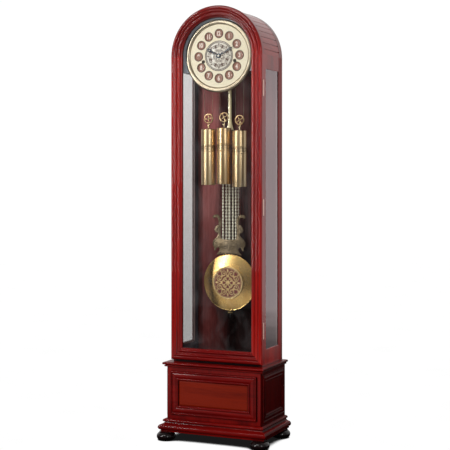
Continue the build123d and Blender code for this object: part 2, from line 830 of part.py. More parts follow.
with BuildPart() as centre_filigree:
    with BuildSketch(Plane.XZ.offset(62.0)):
        with Locations((0, dial_z)):
            Circle(filigree_r)
            Circle(6.5, mode=Mode.SUBTRACT)
        with Locations((0, weights["centre"][2])):
            Circle(6.0, mode=Mode.SUBTRACT)
    extrude(amount=1.2)
    with BuildSketch(Plane.XZ.offset(63.2)):
        with Locations((0, dial_z)):
            Circle(filigree_r)
            Circle(filigree_r - 3.0, mode=Mode.SUBTRACT)
    extrude(amount=0.8)
save(centre_filigree, "centre_filigree")


def hand_outline(length, width, tail):
    """Pierced spade hand pointing along +Y, hub at the origin."""
    return [
        (-2.2, -tail), (2.2, -tail), (3.0, -tail * 0.5), (2.0, 0),
        (2.0, length * 0.22), (width * 0.62, length * 0.34), (width * 0.35, length * 0.46),
        (1.6, length * 0.5), (1.6, length * 0.58), (width, length * 0.70),
        (width * 0.55, length * 0.82), (0.9, length * 0.88), (0.35, length),
        (-0.35, length), (-0.9, length * 0.88), (-width * 0.55, length * 0.82),
        (-width, length * 0.70), (-1.6, length * 0.58), (-1.6, length * 0.5),
        (-width * 0.35, length * 0.46), (-width * 0.62, length * 0.34),
        (-2.0, length * 0.22), (-2.0, 0), (-3.0, -tail * 0.5),
    ]


def turned(points, clock_angle):
    a = math.radians(-clock_angle)
    return [
        (x * math.cos(a) - y * math.sin(a), dial_z + x * math.sin(a) + y * math.cos(a))
        for x, y in points
    ]


with BuildPart() as hour_hand:
    with BuildSketch(Plane.XZ.offset(65.6)):
        with BuildLine():
            Polyline(*turned(hand_outline(70, 8.5, 8), hour_angle), close=True)
        make_face()
        with Locations((0, dial_z)):
            Circle(9.0)
    extrude(amount=1.2)
    with BuildSketch(Plane.XZ.offset(66.8)):
        with Locations((0, dial_z)):
            Circle(4.8)
    extrude(amount=-20.3)
    # hour wheel at the back end of the pipe
    with BuildSketch(Plane.XZ.offset(48.5)):
        with BuildLine():
            Polyline(
                *shifted(
                    gear_points(hour_teeth, m4, hour_wheel_phase, 0.45, 1.1, 0.18), 0, dial_z
                ),
                close=True,
            )
        make_face()
    extrude(amount=-2.0)
    with BuildSketch(Plane.XZ.offset(67.5)):
        with Locations((0, dial_z)):
            Circle(3.1)
    extrude(amount=-26.0, mode=Mode.SUBTRACT)
save(hour_hand, "hour_hand")

with BuildPart() as minute_hand:
    with BuildSketch(Plane.XZ.offset(67.6)):
        with BuildLine():
            Polyline(*turned(hand_outline(84, 6.5, 14), minute_angle), close=True)
        make_face()
        with Locations((0, dial_z)):
            Circle(6.5)
    extrude(amount=1.2)
    with BuildSketch(Plane.XZ.offset(68.8)):
        with Locations((0, dial_z)):
            Circle(4.2)
    extrude(amount=1.6)
    # centre arbor, through both plates
    with BuildSketch(Plane.XZ.offset(67.6)):
        with Locations((0, dial_z)):
            Circle(3.0)
    extrude(amount=-(67.6 + 22.0))
    with BuildSketch(Plane.XZ.offset(-22.0)):
        with Locations((0, dial_z)):
            Circle(1.5)
    extrude(amount=-5.0)
    # cannon pinion in front of the plate, centre wheel between the plates
    with BuildSketch(Plane.XZ.offset(45.3)):
        with BuildLine():
            Polyline(
                *shifted(gear_points(cannon_teeth, m3, 0.0, 0.8, 0.8, 0.18), 0, dial_z),
                close=True,
            )
        make_face()
    extrude(amount=-4.0)
    with BuildSketch(Plane.XZ.offset(32.0)):
        with BuildLine():
            Polyline(
                *shifted(gear_points(centre_teeth, m1, 0.0, 0.42, 1.1, 0.14), 0, dial_z),
                close=True,
            )
        make_face()
        for k in range(5):
            a = math.radians(18 + 72 * k)
            with Locations((10.4 * math.cos(a), dial_z + 10.4 * math.sin(a))):
                Circle(4.6, mode=Mode.SUBTRACT)
    extrude(amount=-2.0)
save(minute_hand, "minute_hand")

with BuildPart() as minute_wheel:
    with BuildSketch(Plane.XZ.offset(44.8)):
        with BuildLine():
            Polyline(
                *shifted(
                    gear_points(minute_teeth, m3, minute_wheel_phase, 0.45, 1.1, 0.18),
                    *minute_at,
                ),
                close=True,
            )
        make_face()
    extrude(amount=-2.0)
    with BuildSketch(Plane.XZ.offset(49.2)):
        with BuildLine():
            Polyline(
                *shifted(gear_points(minute_pinion, m4, 0.0, 0.8, 0.8, 0.18), *minute_at),
                close=True,
            )
        make_face()
    extrude(amount=-4.4)
    with BuildSketch(Plane.XZ.offset(50.0)):
        with Locations(minute_at):
            Circle(1.55)
    extrude(amount=-8.0, mode=Mode.SUBTRACT)
save(minute_wheel, "minute_wheel")

with BuildPart() as third_wheel:
    with BuildSketch(Plane.XZ.offset(38.0)):
        with Locations(third_at):
            Circle(1.5)
    extrude(amount=-63.0)
    with BuildSketch(Plane.XZ.offset(33.0)):
        with BuildLine():
            Polyline(
                *shifted(
                    gear_points(third_pinion, m1, third_pinion_phase, 0.8, 0.75, 0.14), *third_at
                ),
                close=True,
            )
        make_face()
    extrude(amount=-4.0)
    with BuildSketch(Plane.XZ.offset(24.0)):
        with BuildLine():
            Polyline(
                *shifted(gear_points(third_teeth, m2, 0.0, 0.42, 1.1, 0.14), *third_at),
                close=True,
            )
        make_face()
        for k in range(5):
            a = math.radians(18 + 72 * k)
            with Locations((third_at[0] + 9.0 * math.cos(a), third_at[1] + 9.0 * math.sin(a))):
                Circle(3.9, mode=Mode.SUBTRACT)
    extrude(amount=-2.0)
save(third_wheel, "third_wheel")

with BuildPart() as escape_wheel:
    with BuildSketch(Plane.XZ.offset(38.0)):
        with Locations(escape_at):
            Circle(1.5)
    extrude(amount=-63.0)
    with BuildSketch(Plane.XZ.offset(25.0)):
        with BuildLine():
            Polyline(
                *shifted(
                    gear_points(escape_pinion, m2, escape_pinion_phase, 0.8, 0.75, 0.14),
                    *escape_at,
                ),
                close=True,
            )
        make_face()
    extrude(amount=-4.0)
    # thirty raked teeth
    tooth_pts = []
    for k in range(30):
        for r, d in ((13.8, 0.0), (16.6, 1.2), (16.6, 2.4), (13.8, 8.0)):
            a = math.radians(12 * k + d)
            tooth_pts.append((escape_at[0] + r * math.cos(a), escape_at[1] + r * math.sin(a)))
    with BuildSketch(Plane.XZ.offset(3.0)):
        with BuildLine():
            Polyline(*tooth_pts, close=True)
        make_face()
        for k in range(5):
            a = math.radians(18 + 72 * k)
            with Locations((escape_at[0] + 7.8 * math.cos(a), escape_at[1] + 7.8 * math.sin(a))):
                Circle(3.4, mode=Mode.SUBTRACT)
    extrude(amount=-2.0)
save(escape_wheel, "escape_wheel")

# ---------------------------------------------------------------- weights
for name, (x, zp, zb) in weights.items():
    top = zp - 47.0
    with BuildPart() as weight:
        # shell with rolled ends and a raised frieze band
        with BuildSketch(Plane.XZ.offset(-weight_y)):
            with BuildLine():
                Polyline(
                    (x, top - weight_len), (x + 27, top - weight_len),
                    (x + 27, top - weight_len + 2), (x + 30.5, top - weight_len),
                    (x + weight_r, top - weight_len + 1.5), (x + weight_r, top - 100),
                    (x + weight_r + 0.5, top - 99.5), (x + weight_r + 0.5, top - 70.5),
                    (x + weight_r, top - 70), (x + weight_r, top - 1.5),
                    (x + 30.5, top), (x + 27, top - 2), (x + 6, top - 2),
                    (x + 6, top + 2), (x + 2.5, top + 3), (x + 2.5, zp - 33),
                    (x, zp - 33), close=True,
                )
            make_face()
        revolve(axis=Axis((x, weight_y, 0), (0, 0, 1)))
        # stirrup behind the pulley, with its axle
        with BuildSketch(Plane.XY.offset(zp - 33)):
            with Locations((x, weight_y + 1.0)):
                Rectangle(8, 10)
        extrude(amount=5)
        with BuildSketch(Plane.XZ.offset(-(weight_y + 4))):
            with Locations((x, zp - 13.5)):
                Rectangle(8, 37)
        extrude(amount=-2)
        with BuildSketch(Plane.XZ.offset(-(weight_y - 4.6))):
            with Locations((x, zp)):
                Circle(2.0)
        extrude(amount=-10.0)
        with BuildSketch(Plane.XZ.offset(-(weight_y - 4.6))):
            with Locations((x, zp)):
                Circle(3.4)
        extrude(amount=1.2)
    save(weight, f"weight_{name}")

    with BuildPart() as pulley:
        with BuildSketch(Plane.XY.offset(zp)):
            with BuildLine():
                Polyline(
                    (x + 15.5, weight_y - 3), (x + pulley_r, weight_y - 3),
                    (x + pulley_r, weight_y - 2.2), (x + wrap_r - 0.8, weight_y - 0.8),
                    (x + wrap_r - 0.8, weight_y + 0.8), (x + pulley_r, weight_y + 2.2),
                    (x + pulley_r, weight_y + 3), (x + 15.5, weight_y + 3), close=True,
                )
            make_face()
        revolve(axis=Axis((x, weight_y, zp), (0, 1, 0)))
        with BuildSketch(Plane.XZ.offset(-(weight_y - 1.5))):
            with Locations((x, zp)):
                Circle(16.0)
                Circle(2.05, mode=Mode.SUBTRACT)
            turn = {"left": 8.0, "centre": 28.0, "right": 33.0}[name]
            for k in range(4):
                a = math.radians(turn + 45 + 90 * k)
                with Locations((x + 10.0 * math.cos(a), zp + 10.0 * math.sin(a))):
                    Circle(4.5, mode=Mode.SUBTRACT)
        extrude(amount=-3.0)
        with BuildSketch(Plane.XZ.offset(-(weight_y - 3))):
            with Locations((x, zp)):
                Circle(4.6)
                Circle(2.05, mode=Mode.SUBTRACT)
        extrude(amount=-6.0)
    save(pulley, f"pulley_{name}")

    with BuildPart() as cable:
        with BuildLine() as route:
            Line((x - wrap_r, weight_y, zb), (x - wrap_r, weight_y, zp))
            ThreePointArc(
                (x - wrap_r, weight_y, zp), (x, weight_y, zp - wrap_r), (x + wrap_r, weight_y, zp)
            )
            Line((x + wrap_r, weight_y, zp), (x + wrap_r, weight_y, seat_z1 + 2))
        with BuildSketch(Plane(origin=(x - wrap_r, weight_y, zb), z_dir=(0, 0, -1))):
            Circle(cable_r)
        sweep(path=route.wires()[0])
    save(cable, f"cable_{name}")

    with BuildPart() as barrel:
        with BuildSketch(Plane.XY.offset(zb)):
            with BuildLine():
                y0, y1 = plate_front_y + plate_t + 1.0, plate_back_y - 1.0
                Polyline(
                    (x, -48.0), (x + 4.0, -48.0), (x + 4.0, y0), (x + wrap_r + 3.5, y0),
                    (x + wrap_r + 3.5, y0 + 2), (x + wrap_r - 0.8, y0 + 2),
                    (x + wrap_r - 0.8, y1 - 8), (x + wrap_r + 3.5, y1 - 8),
                    (x + wrap_r + 3.5, y1 - 6), (x + 8, y1 - 6),
                    (x + 8, y1), (x + 3.0, y1), (x + 3.0, plate_back_y + plate_t + 1),
                    (x, plate_back_y + plate_t + 1), close=True,
                )
            make_face()
        revolve(axis=Axis((x, 0, zb), (0, 1, 0)))
        # winding square
        with BuildSketch(Plane.XZ.offset(48.0)):
            with Locations((x, zb)):
                Rectangle(5.2, 5.2)
        extrude(amount=13.0)
    save(barrel, f"barrel_{name}")

# ---------------------------------------------------------------- anchor and crutch
with BuildPart() as anchor_crutch:
    # arbor along Y at the pivot height
    with BuildSketch(Plane.XZ.offset(-plate_front_y)):
        with Locations((0, pivot_z)):
            Circle(1.5)
    extrude(amount=-(44.0 - plate_front_y))
    with BuildSketch(Plane.XZ.offset(4.0)):
        with BuildLine():
            Polyline(
                (0, pivot_z + 5), (8, pivot_z + 3), (16.8, pivot_z - 9), (17.2, pivot_z - 20.5),
                (12.4, pivot_z - 11), (6.5, pivot_z - 3.6), (0, pivot_z - 3),
                (-6.5, pivot_z - 3.6), (-12.4, pivot_z - 11), (-17.2, pivot_z - 20.5),
                (-16.8, pivot_z - 9), (-8, pivot_z + 3), close=True,
            )
        make_face()
    extrude(amount=-4.0)
    # crutch arm behind the back plate, with a fork round the stick
    with BuildSketch(Plane.XZ.offset(-41.0)):
        with BuildLine():
            Polyline(
                (-3.2, pivot_z + 4), (3.2, pivot_z + 4), (2.5, pivot_z - 40),
                (10.4, pivot_z - 44), (10.4, pivot_z - 50), (-10.4, pivot_z - 50),
                (-10.4, pivot_z - 44), (-2.5, pivot_z - 40), close=True,
            )
        make_face()
    extrude(amount=-2.0)
    with BuildSketch(Plane.XZ.offset(-43.0)):
        for side in (-1, 1):
            with Locations((side * 9.0, pivot_z - 47)):
                Rectangle(2.8, 6)
    extrude(amount=-20.0)
save(anchor_crutch, "anchor_crutch")

# ---------------------------------------------------------------- pendulum
with BuildPart() as pendulum_stick:
    # suspension spring and its chops
    with BuildSketch(Plane.XY.offset(1724)):
        with Locations((0, pend_y)):
            Rectangle(0.4, 10)
    extrude(amount=24)
    with BuildSketch(Plane.XY.offset(1743)):
        with Locations((0, pend_y)):
            Rectangle(5, 13)
    extrude(amount=8)
    with BuildSketch(Plane.XY.offset(1712)):
        with Locations((0, pend_y)):
            Rectangle(7, 13)
    extrude(amount=14)
    # flat stick, flared at its foot
    with BuildSketch(Plane.XZ.offset(-(pend_y - 1.5))):
        with BuildLine():
            Line((-7, 1714), (7, 1714))
            Line((7, 1714), (7, 1420))
            ThreePointArc((7, 1420), (10.0, 1390), (18.5, 1364))
            Line((18.5, 1364), (-18.5, 1364))
            ThreePointArc((-18.5, 1364), (-10.0, 1390), (-7, 1420))
            Line((-7, 1420), (-7, 1714))
        make_face()
    extrude(amount=-3.0)
save(pendulum_stick, "pendulum_stick")

rod_places = (
    [(0.0, pend_y - 4, 3.0), (-16.4, pend_y - 4, 3.0), (16.4, pend_y - 4, 3.0)]
    + [(-10.8, pend_y + 5.5, 3.3), (10.8, pend_y + 5.5, 3.3)]
    + [(-31.0, pend_y - 6.2, 3.7), (31.0, pend_y - 6.2, 3.7)]
    + [(-37.5, pend_y + 7.0, 3.7), (37.5, pend_y + 7.0, 3.7)]
)
bar_y0, bar_y1 = 47.6, 69.5
with BuildPart() as pendulum_grid:
    for z0, z1 in ((1352.0, 1364.0), (862.0, 872.0)):
        with BuildSketch(Plane.XY.offset(z0)):
            with Locations((0, (bar_y0 + bar_y1) / 2)):
                RectangleRounded(92, bar_y1 - bar_y0, 4)
        extrude(amount=z1 - z0)
    for x, y, r in rod_places:
        with BuildSketch(Plane.XY.offset(868.0)):
            with Locations((x, y)):
                Circle(r)
        extrude(amount=490.0)
    # plain lower rod with the threaded end that carries the rating nut
    with BuildSketch(Plane.XY.offset(525.0)):
        with Locations((0, 60.0)):
            Circle(3.0)
    extrude(amount=340.0)
save(pendulum_grid, "pendulum_grid")

# Lyre plate in front of the grid, open in the middle.  Right-hand half of the
# outline, mirrored.
lyre_outer = [
    (0, 874), (30, 876), (37, 884), (40, 910), (38, 935), (36, 950), (39, 966), (44, 976),
    (52, 984), (64, 986), (76, 982), (80, 974), (74, 968), (66, 973), (58, 972), (52, 964),
    (50, 950), (49, 938), (58, 938), (66, 928), (70, 916), (62, 904), (54, 906), (52, 896),
    (60, 884), (72, 874), (80, 862), (78, 846), (70, 836), (72, 824), (66, 824), (60, 838),
    (50, 840), (44, 830), (50, 820), (62, 806),
]
with BuildPart() as lyre_plate:
    with BuildSketch(Plane.XZ.offset(-45.0)):
        with BuildLine():
            right = [(x, z) for x, z in lyre_outer]
            left = [(-x, z) for x, z in reversed(lyre_outer[1:])]
            Polyline(*right)
            ThreePointArc(right[-1], (0, bob_z + 128.5), left[0])
            Polyline(*(left + [right[0]]))
        make_face()
    extrude(amount=-2.5)
save(lyre_plate, "lyre_plate")

# front of the bob: part of a sphere centred on the bob's own axis
dome_rim_y = 51.9
dome_sphere_r = ((bob_r - 4.0) ** 2 + (dome_rim_y - bob_front) ** 2) / (2 * (dome_rim_y - bob_front))
dome_mid_y = bob_front + dome_sphere_r - math.sqrt(dome_sphere_r**2 - 66.0**2)
with BuildPart() as bob_lens:
    with BuildSketch(Plane.XY.offset(bob_z)):
        with BuildLine():
            Line((0, bob_back), (bob_r, bob_back))
            Line((bob_r, bob_back), (bob_r, 53.4))
            ThreePointArc((bob_r, 53.4), (bob_r - 1.6, 51.8), (bob_r - 4.0, dome_rim_y))
            ThreePointArc((bob_r - 4.0, dome_rim_y), (66, dome_mid_y), (0, bob_front))
            Line((0, bob_front), (0, bob_back))
        make_face()
    revolve(axis=Axis((0, 0, bob_z), (0, 1, 0)))
with BuildPart() as bob_guide:
    # guide screwed to the back of the bob for the lower rod
    with BuildSketch(Plane.XY.offset(610.0)):
        with Locations((0, 61.0)):
            Rectangle(18, 10)
        with Locations((0, 60.0)):
            Circle(3.3, mode=Mode.SUBTRACT)
    extrude(amount=40.0)
here = Location((0, set_back, 0))
bob = Compound(children=[bob_lens.part.moved(here), bob_guide.part.moved(here)])
bob.label = "bob"
export_step(bob, "parts/bob.step")

with BuildPart() as bob_medallion:
    with BuildSketch(Plane.XY.offset(bob_z)):
        with BuildLine():
            Polyline(
                (0, 34.6), (0, 32.6), (66, 32.6), (67.0, 31.0), (71.5, 31.0), (medallion_r, 32.6),
                (medallion_r, 41.0), (66, 39.3), close=True,
            )
        make_face()
    revolve(axis=Axis((0, 0, bob_z), (0, 1, 0)))
    with BuildSketch(Plane.XY.offset(bob_z)):
        with BuildLine():
            Line((0, bob_back), (bob_r, bob_back))
            Line((bob_r, bob_back), (bob_r, 53.4))
            ThreePointArc((bob_r, 53.4), (bob_r - 1.6, 51.8), (bob_r - 4.0, dome_rim_y))
            ThreePointArc((bob_r - 4.0, dome_rim_y), (66, dome_mid_y), (0, bob_front))
            Line((0, bob_front), (0, bob_back))
        make_face()
    revolve(axis=Axis((0, 0, bob_z), (0, 1, 0)), mode=Mode.SUBTRACT)
save(bob_medallion, "bob_medallion")

with BuildPart() as rating_nut:
    with BuildSketch(Plane.XY.offset(546.0)):
        with Locations((0, 60.0)):
            Circle(11.0)
            Circle(3.05, mode=Mode.SUBTRACT)
    extrude(amount=7.0)
save(rating_nut, "rating_nut")
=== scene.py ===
import math
import random

import bmesh
import bpy
from mathutils import Matrix, Vector


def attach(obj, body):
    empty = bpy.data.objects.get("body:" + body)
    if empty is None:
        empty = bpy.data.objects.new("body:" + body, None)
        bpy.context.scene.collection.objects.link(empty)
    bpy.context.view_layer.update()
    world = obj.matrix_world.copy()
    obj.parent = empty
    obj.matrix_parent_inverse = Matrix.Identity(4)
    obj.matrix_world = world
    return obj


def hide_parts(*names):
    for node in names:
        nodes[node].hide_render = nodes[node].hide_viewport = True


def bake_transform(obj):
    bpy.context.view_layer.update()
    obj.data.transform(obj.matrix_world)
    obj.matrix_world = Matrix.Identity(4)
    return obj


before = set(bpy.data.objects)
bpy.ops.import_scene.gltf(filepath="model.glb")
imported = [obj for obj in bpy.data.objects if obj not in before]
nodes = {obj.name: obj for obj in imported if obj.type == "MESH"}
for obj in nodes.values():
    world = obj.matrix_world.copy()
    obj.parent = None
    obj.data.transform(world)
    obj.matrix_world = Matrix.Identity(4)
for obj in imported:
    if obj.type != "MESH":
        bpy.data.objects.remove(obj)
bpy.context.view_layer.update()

scene = bpy.context.scene
S = 0.001                      # this script's lengths are written in millimetres
random.seed(7)

# ------------------------------------------------------------------ sizes shared with the part
DZ = 1683.3                    # dial centre and arch centre
BOB_Z, BOB_R = 683.0, 126.0
WEIGHTS = {"left": (-75.0, 1413.0, 1660.0), "centre": (0.0, 1417.0, 1642.0), "right": (75.0, 1404.0, 1660.0)}
WY = -8.0
DY = 10.0                      # everything inside the case stands this far further back
WR = 19.5                      # radius of the cable on pulleys and barrels


# ------------------------------------------------------------------ small mesh builder
class Build:
    """Collects vertices and faces in millimetres, then makes one object."""

    def __init__(self):
        self.v, self.f, self.uv, self.m = [], [], [], []

    def vert(self, x, y, z):
        self.v.append((x * S, (y + DY) * S, z * S))
        return len(self.v) - 1

    def face(self, idx, uv=None, m=0):
        self.f.append(tuple(idx))
        self.uv.append(uv or [(0.0, 0.0)] * len(idx))
        self.m.append(m)

    def sweep(self, rings, closed_path=False, closed_ring=True, cap=True, us=None, vs=None, m=0):
        """Skin a list of rings, each a list of points with the same count."""
        n = len(rings[0])
        idx = [[self.vert(*p) for p in ring] for ring in rings]
        us = us or list(range(len(rings) + 1))
        vs = vs or list(range(n + 1))
        last = len(rings) if closed_path else len(rings) - 1
        for i in range(last):
            j = (i + 1) % len(rings)
            for k in range(n if closed_ring else n - 1):
                l = (k + 1) % n
                self.face(
                    (idx[i][k], idx[i][l], idx[j][l], idx[j][k]),
                    [(us[i] * S, vs[k] * S), (us[i] * S, vs[k + 1] * S), (us[i + 1] * S, vs[k + 1] * S), (us[i + 1] * S, vs[k] * S)],
                    m,
                )
        if cap and closed_ring and not closed_path:
            self.face(list(reversed(idx[0])), None, m)
            self.face(idx[-1], None, m)
        return idx

    def lathe(self, profile, place, segs=96, m=0, close=True):
        """Turn (radius, along) points about an axis. place(r, t, angle) gives x, y, z."""
        rings = []
        for k in range(segs):
            a = 2 * math.pi * k / segs
            rings.append([place(r, t, a) for r, t in profile])
        n = len(profile)
        idx, pole = [], {}
        for ring in rings:
            row = []
            for j, (r, t) in enumerate(profile):
                if r < 1e-6:
                    if j not in pole:
                        pole[j] = self.vert(*ring[j])
                    row.append(pole[j])
                else:
                    row.append(self.vert(*ring[j]))
            idx.append(row)
        for k in range(segs):
            l = (k + 1) % segs
            for j in range(n if close else n - 1):
                i = (j + 1) % n
                q = [idx[k][j], idx[k][i], idx[l][i], idx[l][j]]
                out = []
                for x in q:
                    if x not in out:
                        out.append(x)
                if len(out) > 2:
                    self.face(out, None, m)

    def prism(self, outline, to3d, t0, t1, m=0):
        """Solid between two copies of one outline. to3d(u, v, t) gives x, y, z."""
        a = [self.vert(*to3d(u, v, t0)) for u, v in outline]
        b = [self.vert(*to3d(u, v, t1)) for u, v in outline]
        n = len(outline)
        for i in range(n):
            j = (i + 1) % n
            self.face((a[i], a[j], b[j], b[i]), None, m)
        self.face(list(reversed(a)), None, m)
        self.face(b, None, m)

    def box(self, x0, x1, y0, y1, z0, z1, m=0):
        self.prism([(x0, y0), (x1, y0), (x1, y1), (x0, y1)], lambda u, v, t: (u, v, t), z0, z1, m)

    def tube(self, path, r, segs=12, m=0, closed=False, squash=None):
        """Round bar along a list of points, radius r or a function of the index."""
        rings = []
        n = len(path)
        pts = [Vector(p) for p in path]
        up = None
        for i, p in enumerate(pts):
            a = pts[(i - 1) % n] if closed else pts[max(i - 1, 0)]
            b = pts[(i + 1) % n] if closed else pts[min(i + 1, n - 1)]
            t = (b - a).normalized()
            if up is None:
                up = Vector((0, 1, 0)) if abs(t.y) < 0.8 else Vector((1, 0, 0))
            side = t.cross(up).normalized()
            up = side.cross(t).normalized()
            rr = r(i) if callable(r) else r
            ring = []
            for k in range(segs):
                ang = 2 * math.pi * k / segs
                o = side * math.cos(ang) * rr + up * math.sin(ang) * rr * (squash or 1.0)
                ring.append(tuple(p + o))
            rings.append(ring)
        self.sweep(rings, closed_path=closed, m=m)

    def make(self, name, mats, smooth=38.0, bevel=0.0, segments=2):
        me = bpy.data.meshes.new(name)
        me.from_pydata(self.v, [], self.f)
        layer = me.uv_layers.new(name="UVMap")
        flat = [c for face in self.uv for c in face]
        for loop, uv in zip(layer.data, flat):
            loop.uv = uv
        me.polygons.foreach_set("material_index", self.m)
        for mat in mats:
            me.materials.append(mat)
        bm = bmesh.new()
        bm.from_mesh(me)
        bmesh.ops.remove_doubles(bm, verts=bm.verts, dist=1e-6)
        bmesh.ops.recalc_face_normals(bm, faces=bm.faces)
        bm.to_mesh(me)
        bm.free()
        me.polygons.foreach_set("use_smooth", [True] * len(me.polygons))
        me.set_sharp_from_angle(angle=math.radians(smooth))
        me.update()
        ob = bpy.data.objects.new(name, me)
        scene.collection.objects.link(ob)
        if bevel:
            mod = ob.modifiers.new("edge", "BEVEL")
            mod.width = bevel * S
            mod.segments = segments
            mod.limit_method = "ANGLE"
            mod.angle_limit = math.radians(40)
            mod.harden_normals = True
        return ob


def arc3(a, b, c, n):
    """n points after a up to c on the circle through a, b, c (2D)."""
    ax, ay, bx, by, cx, cy = *a, *b, *c
    d = 2 * (ax * (by - cy) + bx * (cy - ay) + cx * (ay - by))
    ux = ((ax**2 + ay**2) * (by - cy) + (bx**2 + by**2) * (cy - ay) + (cx**2 + cy**2) * (ay - by)) / d
    uy = ((ax**2 + ay**2) * (cx - bx) + (bx**2 + by**2) * (ax - cx) + (cx**2 + cy**2) * (bx - ax)) / d
    r = math.hypot(ax - ux, ay - uy)
    t0, t1, t2 = (math.atan2(p[1] - uy, p[0] - ux) for p in (a, b, c))
    two = 2 * math.pi
    if (t1 - t0) % two < (t2 - t0) % two:
        sweep = (t2 - t0) % two
    else:
        sweep = -((t0 - t2) % two)
    return [(ux + r * math.cos(t0 + sweep * k / n), uy + r * math.sin(t0 + sweep * k / n)) for k in range(1, n + 1)]


def profile(start, segs, n=10):
    pts = [start]
    for s in segs:
        if len(s) == 1:
            pts.append(s[0])
        else:
            pts += arc3(pts[-1], s[0], s[1], n)
    return pts


def smooth_line(pts, n=6, closed=False, sharp=()):
    """Catmull-Rom through the points; indices in sharp stay corners."""
    out = []
    m = len(pts)
    last = m if closed else m - 1
    for i in range(last):
        p1, p2 = pts[i], pts[(i + 1) % m]
        p0 = pts[(i - 1) % m] if (closed or i > 0) else p1
        p3 = pts[(i + 2) % m] if (closed or i + 2 < m) else p2
        if i in sharp:
            p0 = p1
        if (i + 1) % m in sharp:
            p3 = p2
        for k in range(n):
            t = k / n
            out.append(tuple(
                0.5 * (2 * a1 + (a2 - a0) * t + (2 * a0 - 5 * a1 + 4 * a2 - a3) * t * t + (3 * a1 - a0 - 3 * a2 + a3) * t**3)
                for a0, a1, a2, a3 in zip(p0, p1, p2, p3)
            ))
    if not closed:
        out.append(tuple(pts[-1]))
    return out


def clock(a):
    """Unit vector in the dial's plane for degrees clockwise from twelve."""
    r = math.radians(a)
    return math.sin(r), math.cos(r)


def about_y(cx, cz):
    """Lathe placing for an axis along Y: t is the y value."""
    return lambda r, t, a: (cx + r * math.cos(a), t, cz + r * math.sin(a))


def about_z(cx, cy):
    return lambda r, t, a: (cx + r * math.cos(a), cy + r * math.sin(a), t)


def plate_from(name, outlines, y_front, thick, mats, bevel=0.0, holes=()):
    """Flat pierced plate facing -Y made of closed outlines in x, z (even-odd filled)."""
    cu = bpy.data.curves.new(name + "_c", "CURVE")
    cu.dimensions = "2D"
    cu.fill_mode = "BOTH"
    cu.extrude = (thick / 2 - bevel) * S
    cu.bevel_depth = bevel * S
    cu.bevel_resolution = 2
    cu.offset = -bevel * S
    for line in list(outlines) + list(holes):
        sp = cu.splines.new("POLY")
        sp.points.add(len(line) - 1)
        for p, (x, z) in zip(sp.points, line):
            p.co = (x * S, z * S, 0, 1)
        sp.use_cyclic_u = True
    tmp = bpy.data.objects.new(name + "_t", cu)
    scene.collection.objects.link(tmp)
    dg = bpy.context.evaluated_depsgraph_get()
    me = bpy.data.meshes.new_from_object(tmp.evaluated_get(dg), depsgraph=dg)
    bpy.data.objects.remove(tmp)
    me.name = name
    # the curve lies in XY and looks along +Z: stand it up so that it looks along -Y
    me.transform(Matrix(((1, 0, 0, 0), (0, 0, -1, (y_front + DY + thick / 2) * S), (0, 1, 0, 0), (0, 0, 0, 1))))
    bm = bmesh.new()
    bm.from_mesh(me)
    bmesh.ops.remove_doubles(bm, verts=bm.verts, dist=2e-6)
    bmesh.ops.recalc_face_normals(bm, faces=bm.faces)
    bm.to_mesh(me)
    bm.free()
    me.materials.clear()
    for mat in mats:
        me.materials.append(mat)
    me.polygons.foreach_set("material_index", [0] * len(me.polygons))
    me.polygons.foreach_set("use_smooth", [True] * len(me.polygons))
    me.set_sharp_from_angle(angle=math.radians(35))
    ob = bpy.data.objects.new(name, me)
    scene.collection.objects.link(ob)
    return ob


def circle_line(cx, cz, r, n=32):
    return [(cx + r * math.cos(2 * math.pi * k / n), cz + r * math.sin(2 * math.pi * k / n)) for k in range(n)]


# ------------------------------------------------------------------ materials
def srgb(r, g, b):
    f = lambda c: (c / 255 / 12.92) if c <= 10 else ((c / 255 + 0.055) / 1.055) ** 2.4
    return (f(r), f(g), f(b), 1.0)


